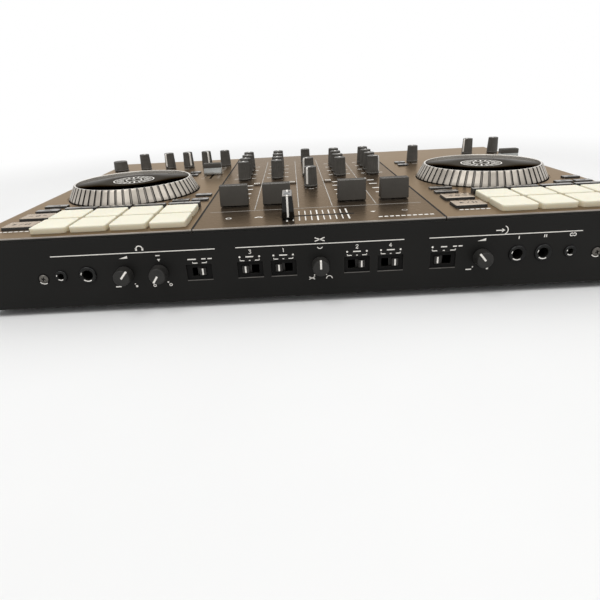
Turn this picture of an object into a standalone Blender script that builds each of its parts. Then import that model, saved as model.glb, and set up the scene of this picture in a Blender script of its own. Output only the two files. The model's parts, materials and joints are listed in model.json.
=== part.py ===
"""Compact four-channel DJ controller, modelled as the pieces that it comes apart into.

Metres, +Z up. The origin is on the table, under the middle of the overall box.
X runs to the right, and Y runs from the player towards the rear sockets.
"""

import math

import bmesh
import bpy
from mathutils import Matrix, Vector

# Fits
SEAT_GAP = 0.0003  # between fixed pieces that rest on each other
RUN_GAP = 0.0004  # beside and around pieces that move
PANEL_SEAM = 0.0006  # open line between the mixer panel and each deck panel
FUSE = 0.0005  # how far joined shapes run into each other
CUT_PAST = 0.001  # how far a cutter runs past the face that it opens

# Casing
CASE_HEIGHT = 0.046
PANEL_THICK = 0.002
FRONT_THICK = 0.003
REAR_THICK = 0.002
TRAY_THICK = 0.0015
FOOT_HEIGHT = 0.005
FOOT_RADIUS = 0.010
FOOT_TAPER = 0.0012
FOOT_INSET = 0.024
POST_RADIUS = 0.004
POST_INSET_X = 0.030
POST_INSET_Y = 0.050

# Performance pads, moulded on one silicone mat for each deck
PAD_COLUMNS = 4
PAD_ROWS = 2
PAD_WIDTH = 0.0222
PAD_DEPTH = 0.0230
PAD_GAP = 0.0022
PAD_RISE = 0.0038
PAD_CORNER = 0.003
PAD_FRONT = 0.0075
PAD_MARGIN = 0.0051
MAT_THICK = 0.0015
MAT_BORDER = 0.0015

# Play and cue buttons
BUTTON_WIDTH = 0.0205
BUTTON_DEPTH = 0.014
BUTTON_RISE = 0.0018
BUTTON_TRAVEL = 0.0012
BUTTON_CORNER = 0.0012
BUTTON_FLANGE = 0.001
FLANGE_THICK = 0.0012
PLAY_FRONT = 0.0202
CUE_GAP = 0.0083
DECK_MARGIN = 0.012
BUTTON_TO_PADS = 0.004

# Flat keys, which stand a little proud of the panel
KEY_RISE = 0.0012
MODE_RISE = 0.0026
MODE_GAP = 0.0035
MODE_DEPTH = 0.0045
THIN_KEY_WIDTH = 0.0165
THIN_KEY_DEPTH = 0.0055
THIN_KEY_FRONT = 0.0655
THIN_KEY_PITCH = 0.0145
SMALL_KEY_WIDTH = 0.0125
SMALL_KEY_DEPTH = 0.0055
SMALL_KEY_PITCH = 0.0145
SMALL_KEY_FRONT = 0.0805
SMALL_KEY_STEP = 0.0170
SMALL_KEY_MARGIN = 0.0028
SIDE_KEY_WIDTH = 0.010
SIDE_KEY_DEPTH = 0.006
SIDE_KEY_PITCH = 0.016
SIDE_KEY_BACK = 0.2000
LEFT_SIDE_KEYS_INWARD = 0.0360
RIGHT_SIDE_KEYS_ACROSS = 0.0180
CUE_KEY_WIDTH = 0.0070
CUE_KEY_DEPTH = 0.0050
CUE_KEY_Y = 0.134
CUE_KEY_SIDE = 0.0110

# Jog wheels
JOG_RADIUS = 0.0518
JOG_FLARE = 0.0054  # how much smaller the wheel is at its top
JOG_RISE = 0.011
JOG_LIP = 0.0010
JOG_RIM = 0.0016
JOG_DISC_DROP = 0.0007
JOG_SKIRT = 0.0015
JOG_RIBS = 56
RIB_GROOVE_WIDTH = 0.0018
RIB_GROOVE_DEPTH = 0.0010
RIB_END = 0.0009
SPINDLE_RADIUS = 0.005
SPINDLE_LENGTH = 0.0115
WELL_GAP = 0.0008
WELL_WALL = 0.002
WELL_DEPTH = 0.012
WELL_FLOOR = 0.002
WELL_STEPS = 32
HUB_RADIUS = 0.010
JOG_FRONT_GAP = 0.0095
JOG_OFFSET = 0.0019  # how far left of the deck's middle the wheel stands

# Faders
STEM_WIDTH = 0.0012
STEM_LENGTH = 0.004
STEM_IN_TRACK = 0.003
FADER_LIFT = 0.0006
CAP_TAPER = 0.0014
CAP_GROOVE = 0.0008
CHANNEL_CAP_WIDTH = 0.0196
CHANNEL_CAP_DEPTH = 0.0095
CHANNEL_CAP_HEIGHT = 0.0140
CHANNEL_TRAVEL = 0.045
CHANNEL_LOW_Y = 0.0590
CROSS_CAP_WIDTH = 0.0196
CROSS_CAP_DEPTH = 0.0080
CROSS_CAP_HEIGHT = 0.0144
CROSS_TRAVEL = 0.037
CROSS_Y = 0.0205
TEMPO_CAP_WIDTH = 0.0177
TEMPO_CAP_DEPTH = 0.0090
TEMPO_CAP_HEIGHT = 0.0104
TEMPO_TRAVEL = 0.060
TEMPO_FROM_END = 0.022  # the cap's place in the photograph, from the front end of its travel
TEMPO_BEHIND_JOG = 0.052
TEMPO_MARGIN = 0.0160

# Knobs
KNOB_FLUTES = 6
FLUTE_DEPTH = 0.0005
KNOB_RADIUS = 0.0057
KNOB_TIP_RADIUS = 0.0050
KNOB_HEIGHT = 0.0160
SHAFT_RADIUS = 0.003
SHAFT_IN = 0.005
BROWSE_RADIUS = 0.0052
BROWSE_TIP_RADIUS = 0.0048
BROWSE_HEIGHT = 0.0135
DIAL_RADIUS = 0.0076
DIAL_TIP_RADIUS = 0.0070
DIAL_HEIGHT = 0.0100
FRONT_KNOB_RADIUS = 0.0057
FRONT_KNOB_TIP_RADIUS = 0.0053
FRONT_KNOB_HEIGHT = 0.0075

# Mixer panel
CENTRE_STRIP = 0.0228
CHANNEL_WIDTH = 0.0298
MIXER_MARGIN = 0.0050
TONE_ROWS = 4
TONE_Y = 0.163
TONE_PITCH = 0.0225
TONE_OUTWARD = 0.0020  # how far outside its fader's line each column of knobs stands
MASTER_Y = 0.117
BOOTH_Y = 0.170
BROWSE_Y = 0.257

# Rear strip of each deck: rows are placed from the deck's right edge, the rest from its left edge
LEFT_KNOBS_INWARD = (0.0970, 0.0705, 0.0505, 0.0305, 0.0105)
RIGHT_KNOBS_INWARD = (0.0370, 0.0095)
LONE_KNOB_ACROSS = 0.0315
LONE_KNOB_FORWARD = 0.0370
DIAL_ACROSS = 0.0130
EFFECT_GAP = 0.0754
REAR_MARGIN = 0.050

# Front panel
CONTROL_DROP = 0.026  # from the top of the casing to the row of knobs
SWITCH_DROP = 0.027
JACK_DROP = 0.0252
LARGE_JACK_RING = 0.00525
LARGE_JACK_BORE = 0.0033
LARGE_JACK_DEPTH = 0.0155
SMALL_JACK_RING = 0.0036
SMALL_JACK_BORE = 0.00185
SMALL_JACK_DEPTH = 0.0125
JACK_PROUD = 0.0006
JACK_END = 0.0015
JACK_SIDES = 12
RECESS_WIDTH = 0.0160
RECESS_HEIGHT = 0.0104
RECESS_DEPTH = 0.0010
SWITCH_NUB_WIDTH = 0.0042
SWITCH_NUB_HEIGHT = 0.0049
SWITCH_SHORT_TRAVEL = 0.004
SWITCH_LONG_TRAVEL = 0.006
SWITCH_PLATE_BORDER = 0.0015
SWITCH_PLATE_THICK = 0.0015
HEADPHONE_LEVEL_X = -0.1207
HEADPHONE_MIX_X = -0.0992
CURVE_X = 0.0
AUX_LEVEL_X = 0.0994
LARGE_JACKS_X = (-0.1435, 0.1216, 0.1376)
SMALL_JACKS_X = (-0.1600, 0.1542)
SPLIT_X = -0.0748
ASSIGN_OUTER_X = 0.0433
ASSIGN_INNER_X = 0.0226
AUX_SELECT_X = 0.0757

# Rear panel
SOCKET_DROP = 0.027
LINE_SOCKET_RADIUS = 0.00415
LINE_SOCKET_BORE = 0.0016
LINE_SOCKET_PROUD = 0.0070
LINE_SOCKET_COLLAR = 0.0055
COLLAR_PROUD = 0.001
LINE_SOCKETS_X = (0.030, 0.048, 0.074, 0.092)
REAR_JACKS_X = (0.130, 0.158)
USB_X = -0.095
USB_WIDTH = 0.0122
USB_HEIGHT = 0.0110
USB_DEPTH = 0.0140
USB_WALL = 0.0015
INLET_X = -0.170
INLET_RADIUS = 0.0055
INLET_BORE = 0.0032
INLET_DEPTH = 0.0100
INLET_PIN = 0.0010

# Main board
BOARD_DROP = 0.0145  # from the underside of the top panel to the board
BOARD_THICK = 0.0016
BOARD_MARGIN = 0.004
TRACK_WIDTH = 0.009
TRACK_HEIGHT = 0.0085
TRACK_END = 0.005
TRACK_FLOOR = 0.001
POT_SIDE = 0.009
SWITCH_SIDE = 0.006
PILLAR_SIDE = 0.005

# Sizes that follow from the ones above
pads_width = PAD_COLUMNS * PAD_WIDTH + (PAD_COLUMNS - 1) * PAD_GAP
pads_depth = PAD_ROWS * PAD_DEPTH + (PAD_ROWS - 1) * PAD_GAP
deck_width = DECK_MARGIN + BUTTON_WIDTH + BUTTON_TO_PADS + pads_width + PAD_MARGIN
mixer_width = CENTRE_STRIP + 4 * CHANNEL_WIDTH + 2 * MIXER_MARGIN
body_width = 2 * deck_width + mixer_width
pads_left = DECK_MARGIN + BUTTON_WIDTH + BUTTON_TO_PADS
mode_front = PAD_FRONT + pads_depth + MODE_GAP
well_radius = JOG_RADIUS + WELL_GAP + WELL_WALL
jog_top_radius = JOG_RADIUS - JOG_FLARE
jog_disc_radius = jog_top_radius - JOG_RIM
jog_x = deck_width / 2 - JOG_OFFSET
jog_y = mode_front + MODE_DEPTH + JOG_FRONT_GAP + well_radius
effect_y = jog_y + well_radius + EFFECT_GAP
body_depth = effect_y + REAR_MARGIN
front_proud = RUN_GAP + FRONT_KNOB_HEIGHT
front_y = front_proud - (front_proud + body_depth + LINE_SOCKET_PROUD) / 2
rear_y = front_y + body_depth
top_z = FOOT_HEIGHT + CASE_HEIGHT
under_z = top_z - PANEL_THICK
seat_z = under_z - SEAT_GAP
board_z = under_z - BOARD_DROP
track_z = board_z + TRACK_HEIGHT
shaft_radius_hole = SHAFT_RADIUS + RUN_GAP
slot_half = STEM_WIDTH / 2 + RUN_GAP
deck_left = {"left": -body_width / 2, "right": mixer_width / 2}
channel_x = {
    3: -CENTRE_STRIP / 2 - 1.5 * CHANNEL_WIDTH,
    1: -CENTRE_STRIP / 2 - 0.5 * CHANNEL_WIDTH,
    2: CENTRE_STRIP / 2 + 0.5 * CHANNEL_WIDTH,
    4: CENTRE_STRIP / 2 + 1.5 * CHANNEL_WIDTH,
}


def clear_scene():
    for obj in list(bpy.data.objects):
        bpy.data.objects.remove(obj, do_unlink=True)


def new_collection(name):
    collection = bpy.data.collections.new(name)
    bpy.context.scene.collection.children.link(collection)
    return collection


def new_material(name, colour, roughness, metallic=0.0):
    material = bpy.data.materials.new(name)
    material.use_nodes = True
    shader = material.node_tree.nodes["Principled BSDF"]
    shader.inputs["Base Color"].default_value = (*colour, 1.0)
    shader.inputs["Roughness"].default_value = roughness
    shader.inputs["Metallic"].default_value = metallic
    return material


def along(axis):
    """Turns local +Z to the named axis."""
    if axis == "+Y":
        return Matrix.Rotation(math.radians(-90), 4, "X")
    if axis == "-Y":
        return Matrix.Rotation(math.radians(90), 4, "X")
    return Matrix.Identity(4)


def add_box(bm, low, high):
    low, high = Vector(low), Vector(high)
    size = high - low
    matrix = Matrix.Translation((low + high) / 2) @ Matrix.Diagonal((*size, 1))
    bmesh.ops.create_cube(bm, size=1, matrix=matrix)


def add_cylinder(bm, start, length, radius, sides=16, axis="+Z", end_radius=None):
    """A cylinder or cone that runs from start along the axis."""
    matrix = Matrix.Translation(start) @ along(axis) @ Matrix.Translation((0, 0, length / 2))
    end_radius = radius if end_radius is None else end_radius
    bmesh.ops.create_cone(
        bm, cap_ends=True, segments=sides, radius1=radius, radius2=end_radius, depth=length, matrix=matrix
    )


def add_rounded_box(bm, centre, size, corner, axis="+Z", steps=2):
    """A block with its four edges along the axis rounded. Its size is given in the turned frame."""
    shape = bmesh.new()
    bmesh.ops.create_cube(shape, size=1, matrix=Matrix.Diagonal((*size, 1)))
    upright = [e for e in shape.edges if abs(e.verts[0].co.z - e.verts[1].co.z) > size[2] / 2]
    bmesh.ops.bevel(shape, geom=upright, offset=corner, segments=steps, profile=0.5, affect="EDGES")
    shape.transform(Matrix.Translation(centre) @ along(axis))
    mesh = bpy.data.meshes.new("shape")
    shape.to_mesh(mesh)
    shape.free()
    bm.from_mesh(mesh)
    bpy.data.meshes.remove(mesh)


def add_stack(bm, levels, sides):
    """A closed loft of rings, bottom to top. Each level is (height, outer radius, inner radius)."""
    rings = []
    for height, outer, inner in levels:
        ring = []
        for i in range(sides):
            angle = 2 * math.pi * i / sides
            radius = outer if i % 2 == 0 else inner
            ring.append(bm.verts.new((radius * math.cos(angle), radius * math.sin(angle), height)))
        rings.append(ring)
    for lower, upper in zip(rings, rings[1:]):
        for i in range(sides):
            j = (i + 1) % sides
            bm.faces.new((lower[i], lower[j], upper[j], upper[i]))
    bm.faces.new(reversed(rings[0]))
    bm.faces.new(rings[-1])


def mesh_from(name, bm):
    bmesh.ops.recalc_face_normals(bm, faces=bm.faces)
    mesh = bpy.data.meshes.new(name)
    bm.to_mesh(mesh)
    bm.free()
    return mesh


def add_part(name, mesh, material, location=(0, 0, 0), rotation=(0, 0, 0)):
    obj = bpy.data.objects.new(name, mesh)
    obj.location = location
    obj.rotation_euler = rotation
    parts.objects.link(obj)
    if not mesh.materials:
        mesh.materials.append(material)
    return obj


def add_cutter(name, mesh, location=(0, 0, 0)):
    obj = bpy.data.objects.new(name, mesh)
    obj.location = location
    obj.hide_render = True
    obj.display_type = "WIRE"
    cutters.objects.link(obj)
    return obj


def combine(target, operation, other):
    modifier = target.modifiers.new(operation.title(), "BOOLEAN")
    modifier.operation = operation
    modifier.solver = "EXACT"
    modifier.object = other


def cut(target, bm):
    combine(target, "DIFFERENCE", add_cutter(target.name + "_cut", mesh_from(target.name + "_cut", bm)))


def join(target, bm):
    combine(target, "UNION", add_cutter(target.name + "_join", mesh_from(target.name + "_join", bm)))


def turn(obj, steps):
    """Makes a turned solid of the object's profile. The profile runs down its outer side."""
    screw = obj.modifiers.new("Turned", "SCREW")
    screw.axis = "Z"
    screw.steps = steps
    screw.render_steps = steps
    screw.use_merge_vertices = True
    screw.merge_threshold = 0.00001


def profile_mesh(name, points, closed):
    mesh = bpy.data.meshes.new(name)
    edges = [(i, i + 1) for i in range(len(points) - 1)]
    if closed:
        edges.append((len(points) - 1, 0))
    mesh.from_pydata([(r, 0, z) for r, z in points], edges, [])
    return mesh


def deck_point(side, across, back):
    """A point on the top plane, from the deck's left edge and the front edge of the casing."""
    return Vector((deck_left[side] + across, front_y + back, top_z))


def key_block(bm, centre, width, depth, rise=KEY_RISE):
    half = Vector((width / 2, depth / 2, 0))
    add_box(bm, centre - half - Vector((0, 0, PANEL_THICK / 2)), centre + half + Vector((0, 0, rise)))


def top_slot(bm, centre, half_x, half_y):
    add_box(
        bm,
        (centre.x - half_x, centre.y - half_y, under_z - CUT_PAST),
        (centre.x + half_x, centre.y + half_y, top_z + CUT_PAST),
    )


def top_hole(bm, centre, radius, sides=8):
    """A hole whose flats, and not only its corners, stand clear of what runs in it."""
    start = (centre.x, centre.y, under_z - CUT_PAST)
    add_cylinder(bm, start, PANEL_THICK + 2 * CUT_PAST, radius / math.cos(math.pi / sides), sides)


def rounded_top_hole(bm, centre, width, depth, corner):
    place = (centre.x, centre.y, (top_z + under_z) / 2)
    add_rounded_box(bm, place, (width, depth, PANEL_THICK + 2 * CUT_PAST), corner)


def pad_centres(side):
    for row in range(PAD_ROWS):
        for column in range(PAD_COLUMNS):
            across = pads_left + PAD_WIDTH / 2 + column * (PAD_WIDTH + PAD_GAP)
            back = PAD_FRONT + PAD_DEPTH / 2 + row * (PAD_DEPTH + PAD_GAP)
            yield deck_point(side, across, back)


def button_centres(side):
    across = DECK_MARGIN + BUTTON_WIDTH / 2
    play = PLAY_FRONT + BUTTON_DEPTH / 2
    yield "play", deck_point(side, across, play)
    yield "cue", deck_point(side, across, play + BUTTON_DEPTH + CUE_GAP)


def effect_points(side):
    """The knobs of one deck's rear strip, by name."""
    inward = LEFT_KNOBS_INWARD if side == "left" else RIGHT_KNOBS_INWARD
    points = [deck_point(side, deck_width - place, effect_y) for place in inward]
    if side == "right":
        points.insert(0, deck_point(side, LONE_KNOB_ACROSS, effect_y - LONE_KNOB_FORWARD))
    named = {f"{side}_effect_knob_{number}": point for number, point in enumerate(points, 1)}
    if side == "left":
        named["left_effect_dial"] = deck_point(side, DIAL_ACROSS, effect_y)
    return named


def tempo_centre(side):
    """The middle of the tempo fader's travel."""
    back = jog_y + TEMPO_BEHIND_JOG + TEMPO_TRAVEL / 2
    return deck_point(side, deck_width - TEMPO_MARGIN, back)


def tone_centres(channel):
    across = channel_x[channel] + math.copysign(TONE_OUTWARD, channel_x[channel])
    for row in range(TONE_ROWS):
        yield Vector((across, front_y + TONE_Y + row * TONE_PITCH, top_z))


def channel_fader_centre(channel):
    return Vector((channel_x[channel], front_y + CHANNEL_LOW_Y + CHANNEL_TRAVEL / 2, top_z))


def centre_points():
    return {
        "master_level_knob": Vector((0, front_y + MASTER_Y, top_z)),
        "booth_level_knob": Vector((0, front_y + BOOTH_Y, top_z)),
        "browse_knob": Vector((0, front_y + BROWSE_Y, top_z)),
    }


def knob_points():
    """Every knob on the top panels, by name."""
    points = {}
    for channel in channel_x:
        for name, point in zip(("low", "mid", "high", "gain"), tone_centres(channel)):
            points[f"channel_{channel}_{name}_knob"] = point
    for side in deck_left:
        points.update(effect_points(side))
    points.update(centre_points())
    return points


def build_tray():
    low_y = front_y + FRONT_THICK + SEAT_GAP
    high_y = rear_y - REAR_THICK - SEAT_GAP
    half = body_width / 2
    bm = bmesh.new()
    add_box(bm, (-half, low_y, FOOT_HEIGHT), (half, high_y, seat_z))
    tray = add_part("chassis_tray", mesh_from("chassis_tray", bm), finishes["casing"])
    inside = bmesh.new()
    add_box(
        inside,
        (-half + TRAY_THICK, low_y - CUT_PAST, FOOT_HEIGHT + TRAY_THICK),
        (half - TRAY_THICK, high_y + CUT_PAST, seat_z + CUT_PAST),
    )
    cut(tray, inside)
    added = bmesh.new()
    for x in (-half + FOOT_INSET, half - FOOT_INSET):
        for y in (low_y + FOOT_INSET, high_y - FOOT_INSET):
            tip = FOOT_RADIUS - FOOT_TAPER
            add_cylinder(added, (x, y, 0), FOOT_HEIGHT + FUSE, tip, 16, end_radius=FOOT_RADIUS)
    post_low = FOOT_HEIGHT + TRAY_THICK - FUSE
    post_high = board_z - BOARD_THICK - SEAT_GAP
    for x in (-half + POST_INSET_X, 0, half - POST_INSET_X):
        for y in (low_y + POST_INSET_Y, high_y - POST_INSET_Y):
            add_cylinder(added, (x, y, post_low), post_high - post_low, POST_RADIUS, 8)
    join(tray, added)


def build_front_panel():
    half = body_width / 2
    bm = bmesh.new()
    add_box(bm, (-half, front_y, FOOT_HEIGHT), (half, front_y + FRONT_THICK, seat_z))
    panel = add_part("front_panel", mesh_from("front_panel", bm), finishes["casing"])
    sockets = bmesh.new()
    bores = bmesh.new()
    large = (LARGE_JACKS_X, LARGE_JACK_RING, LARGE_JACK_BORE, LARGE_JACK_DEPTH)
    small = (SMALL_JACKS_X, SMALL_JACK_RING, SMALL_JACK_BORE, SMALL_JACK_DEPTH)
    for places, ring, bore, depth in (large, small):
        for x in places:
            start = (x, front_y - JACK_PROUD, top_z - JACK_DROP)
            add_cylinder(sockets, start, depth + JACK_END, ring, JACK_SIDES, "+Y")
            mouth = (x, front_y - JACK_PROUD - CUT_PAST, top_z - JACK_DROP)
            add_cylinder(bores, mouth, depth + CUT_PAST, bore, JACK_SIDES, "+Y")
    for x in (HEADPHONE_LEVEL_X, HEADPHONE_MIX_X, CURVE_X, AUX_LEVEL_X):
        start = (x, front_y - CUT_PAST, top_z - CONTROL_DROP)
        add_cylinder(bores, start, FRONT_THICK + 2 * CUT_PAST, shaft_radius_hole, 12, "+Y")
    recesses = bmesh.new()
    for _, x, travel, _ in switches():
        slot_x = (SWITCH_NUB_WIDTH + travel) / 2 + RUN_GAP
        slot_z = SWITCH_NUB_HEIGHT / 2 + RUN_GAP
        middle_z = top_z - SWITCH_DROP
        add_box(
            recesses,
            (x - RECESS_WIDTH / 2, front_y - CUT_PAST, middle_z - RECESS_HEIGHT / 2),
            (x + RECESS_WIDTH / 2, front_y + RECESS_DEPTH, middle_z + RECESS_HEIGHT / 2),
        )
        add_box(
            bores,
            (x - slot_x, front_y - CUT_PAST, middle_z - slot_z),
            (x + slot_x, front_y + FRONT_THICK + CUT_PAST, middle_z + slot_z),
        )
    join(panel, sockets)
    cut(panel, recesses)
    cut(panel, bores)


def switches():
    """Name, middle of travel, travel and which end the slider stands at in the photograph."""
    return (
        ("headphone_split_switch", SPLIT_X, SWITCH_SHORT_TRAVEL, 1),
        ("channel_3_assign_switch", -ASSIGN_OUTER_X, SWITCH_LONG_TRAVEL, -1),
        ("channel_1_assign_switch", -ASSIGN_INNER_X, SWITCH_LONG_TRAVEL, -1),
        ("channel_2_assign_switch", ASSIGN_INNER_X, SWITCH_LONG_TRAVEL, 1),
        ("channel_4_assign_switch", ASSIGN_OUTER_X, SWITCH_LONG_TRAVEL, 1),
        ("aux_input_switch", AUX_SELECT_X, SWITCH_LONG_TRAVEL, -1),
    )


def build_switches():
    for name, x, travel, end in switches():
        bm = bmesh.new()
        half_x = SWITCH_NUB_WIDTH / 2
        half_z = SWITCH_NUB_HEIGHT / 2
        plate_y = FRONT_THICK + RUN_GAP
        add_box(bm, (-half_x, SEAT_GAP, -half_z), (half_x, plate_y + FUSE, half_z))
        slider = add_part(
            name,
            mesh_from(name, bm),
            finishes["knob"],
            (x + end * travel / 2, front_y, top_z - SWITCH_DROP),
        )
        plate = bmesh.new()
        wide, tall = half_x + SWITCH_PLATE_BORDER, half_z + SWITCH_PLATE_BORDER
        add_box(plate, (-wide, plate_y, -tall), (wide, plate_y + SWITCH_PLATE_THICK, tall))
        other = add_cutter(name + "_join", mesh_from(name + "_join", plate), slider.location)
        combine(slider, "UNION", other)


def build_rear_panel():
    half = body_width / 2
    inner_y = rear_y - REAR_THICK
    middle_z = top_z - SOCKET_DROP
    bm = bmesh.new()
    add_box(bm, (-half, inner_y, FOOT_HEIGHT), (half, rear_y, seat_z))
    panel = add_part("rear_panel", mesh_from("rear_panel", bm), finishes["casing"])
    sockets = bmesh.new()
    bores = bmesh.new()
    for x in REAR_JACKS_X:
        start = (x, rear_y + JACK_PROUD, middle_z)
        add_cylinder(sockets, start, LARGE_JACK_DEPTH + JACK_END, LARGE_JACK_RING, JACK_SIDES, "-Y")
        mouth = (x, rear_y + JACK_PROUD + CUT_PAST, middle_z)
        add_cylinder(bores, mouth, LARGE_JACK_DEPTH + CUT_PAST, LARGE_JACK_BORE, JACK_SIDES, "-Y")
    for x in LINE_SOCKETS_X:
        outer = rear_y + LINE_SOCKET_PROUD
        collar = rear_y + COLLAR_PROUD
        add_stack_between(sockets, (x, outer, middle_z), (
            (0, LINE_SOCKET_RADIUS),
            (outer - collar, LINE_SOCKET_RADIUS),
            (outer - collar, LINE_SOCKET_COLLAR),
            (outer - inner_y - FUSE, LINE_SOCKET_COLLAR),
        ), 12)
        mouth = (x, outer + CUT_PAST, middle_z)
        add_cylinder(bores, mouth, LINE_SOCKET_PROUD + CUT_PAST, LINE_SOCKET_BORE, 8, "-Y")
    outer_x = USB_WIDTH / 2 + USB_WALL
    outer_z = USB_HEIGHT / 2 + USB_WALL
    end_y = rear_y - USB_DEPTH
    add_box(
        sockets,
        (USB_X - outer_x, end_y - USB_WALL, middle_z - outer_z),
        (USB_X + outer_x, rear_y - FUSE, middle_z + outer_z),
    )
    add_box(
        bores,
        (USB_X - USB_WIDTH / 2, end_y, middle_z - USB_HEIGHT / 2),
        (USB_X + USB_WIDTH / 2, rear_y + CUT_PAST, middle_z + USB_HEIGHT / 2),
    )
    inlet = (INLET_X, rear_y - FUSE, middle_z)
    add_cylinder(sockets, inlet, INLET_DEPTH + JACK_END, INLET_RADIUS, JACK_SIDES, "-Y")
    mouth = (INLET_X, rear_y + CUT_PAST, middle_z)
    add_cylinder(bores, mouth, INLET_DEPTH + CUT_PAST, INLET_BORE, JACK_SIDES, "-Y")
    join(panel, sockets)
    cut(panel, bores)
    pin = bmesh.new()
    pin_start = (INLET_X, rear_y - PANEL_THICK, middle_z)
    add_cylinder(pin, pin_start, INLET_DEPTH - PANEL_THICK + FUSE, INLET_PIN, 8, "-Y")
    combine(panel, "UNION", add_cutter("inlet_pin", mesh_from("inlet_pin", pin)))


def add_stack_between(bm, start, levels, sides):
    """A stepped round shape that runs from start towards -Y. Each level is (distance, radius)."""
    shape = bmesh.new()
    add_stack(shape, [(distance, radius, radius) for distance, radius in levels], sides)
    shape.transform(Matrix.Translation(start) @ along("-Y"))
    mesh = mesh_from("shape", shape)
    bm.from_mesh(mesh)
    bpy.data.meshes.remove(mesh)


def build_well(side):
    """The cup under the panel that the jog wheel turns in, with the boss for its spindle."""
    outer = well_radius
    inner = outer - WELL_WALL
    floor = -WELL_DEPTH
    bore = SPINDLE_RADIUS + RUN_GAP
    boss_top = -JOG_SKIRT - SEAT_GAP
    points = (
        (inner, -SEAT_GAP),
        (outer, -SEAT_GAP),
        (outer, floor - WELL_FLOOR),
        (bore, floor - WELL_FLOOR),
        (bore, boss_top),
        (HUB_RADIUS, boss_top),
        (HUB_RADIUS, floor),
        (inner, floor),
    )
    mesh = profile_mesh(side + "_jog_well", points, closed=True)
    well = add_cutter(side + "_jog_well", mesh, deck_point(side, jog_x, jog_y))
    turn(well, WELL_STEPS)
    return well


def build_deck_panel(side):
    left = deck_left[side]
    low_x = left + (PANEL_SEAM / 2 if side == "right" else 0)
    high_x = left + deck_width - (PANEL_SEAM / 2 if side == "left" else 0)
    name = side + "_deck_panel"
    bm = bmesh.new()
    add_box(bm, (low_x, front_y, under_z), (high_x, rear_y, top_z))
    panel = add_part(name, mesh_from(name, bm), finishes["panel"])
    holes = bmesh.new()
    # The hole ends in the middle of the well's wall, its corners between the well's own
    centre = deck_point(side, jog_x, jog_y)
    turned = Matrix.Translation(centre) @ Matrix.Rotation(math.pi / WELL_STEPS, 4, "Z")
    bmesh.ops.create_cone(
        holes,
        cap_ends=True,
        segments=WELL_STEPS,
        radius1=well_radius - WELL_WALL / 2,
        radius2=well_radius - WELL_WALL / 2,
        depth=2 * (PANEL_THICK + CUT_PAST),
        matrix=turned,
    )
    for centre in pad_centres(side):
        wide, deep = PAD_WIDTH + 2 * RUN_GAP, PAD_DEPTH + 2 * RUN_GAP
        rounded_top_hole(holes, centre, wide, deep, PAD_CORNER)
    for _, centre in button_centres(side):
        wide, deep = BUTTON_WIDTH + 2 * RUN_GAP, BUTTON_DEPTH + 2 * RUN_GAP
        rounded_top_hole(holes, centre, wide, deep, BUTTON_CORNER)
    for centre in effect_points(side).values():
        top_hole(holes, centre, shaft_radius_hole)
    top_slot(holes, tempo_centre(side), slot_half, (TEMPO_TRAVEL + STEM_LENGTH) / 2 + RUN_GAP)
    cut(panel, holes)
    combine(panel, "UNION", build_well(side))
    keys = bmesh.new()
    for column in range(PAD_COLUMNS):
        across = pads_left + PAD_WIDTH / 2 + column * (PAD_WIDTH + PAD_GAP)
        place = deck_point(side, across, mode_front + MODE_DEPTH / 2)
        key_block(keys, place, PAD_WIDTH, MODE_DEPTH, MODE_RISE)
    for number in range(2):
        back = THIN_KEY_FRONT + number * THIN_KEY_PITCH + THIN_KEY_DEPTH / 2
        across = DECK_MARGIN + THIN_KEY_WIDTH / 2
        key_block(keys, deck_point(side, across, back), THIN_KEY_WIDTH, THIN_KEY_DEPTH)
    last = deck_width - SMALL_KEY_MARGIN - SMALL_KEY_WIDTH / 2
    first_row = SMALL_KEY_FRONT + SMALL_KEY_DEPTH / 2
    small_places = (
        (last - SMALL_KEY_PITCH, first_row),
        (last, first_row),
        (last, first_row + SMALL_KEY_STEP),
    )
    for across, back in small_places:
        key_block(keys, deck_point(side, across, back), SMALL_KEY_WIDTH, SMALL_KEY_DEPTH)
    side_across = deck_width - LEFT_SIDE_KEYS_INWARD if side == "left" else RIGHT_SIDE_KEYS_ACROSS
    for number in range(2):
        place = deck_point(side, side_across, SIDE_KEY_BACK + number * SIDE_KEY_PITCH)
        key_block(keys, place, SIDE_KEY_WIDTH, SIDE_KEY_DEPTH)
    join(panel, keys)


def build_mixer_panel():
    half = mixer_width / 2 - PANEL_SEAM / 2
    bm = bmesh.new()
    add_box(bm, (-half, front_y, under_z), (half, rear_y, top_z))
    panel = add_part("mixer_panel", mesh_from("mixer_panel", bm), finishes["panel"])
    holes = bmesh.new()
    keys = bmesh.new()
    for channel in channel_x:
        half_y = (CHANNEL_TRAVEL + STEM_LENGTH) / 2 + RUN_GAP
        top_slot(holes, channel_fader_centre(channel), slot_half, half_y)
        for centre in tone_centres(channel):
            top_hole(holes, centre, shaft_radius_hole)
        inward = -math.copysign(CUE_KEY_SIDE, channel_x[channel])
        place = Vector((channel_x[channel] + inward, front_y + CUE_KEY_Y, top_z))
        key_block(keys, place, CUE_KEY_WIDTH, CUE_KEY_DEPTH)
    cross = Vector((0, front_y + CROSS_Y, top_z))
    top_slot(holes, cross, (CROSS_TRAVEL + STEM_LENGTH) / 2 + RUN_GAP, slot_half)
    for centre in centre_points().values():
        top_hole(holes, centre, shaft_radius_hole)
    cut(panel, holes)
    join(panel, keys)


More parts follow.
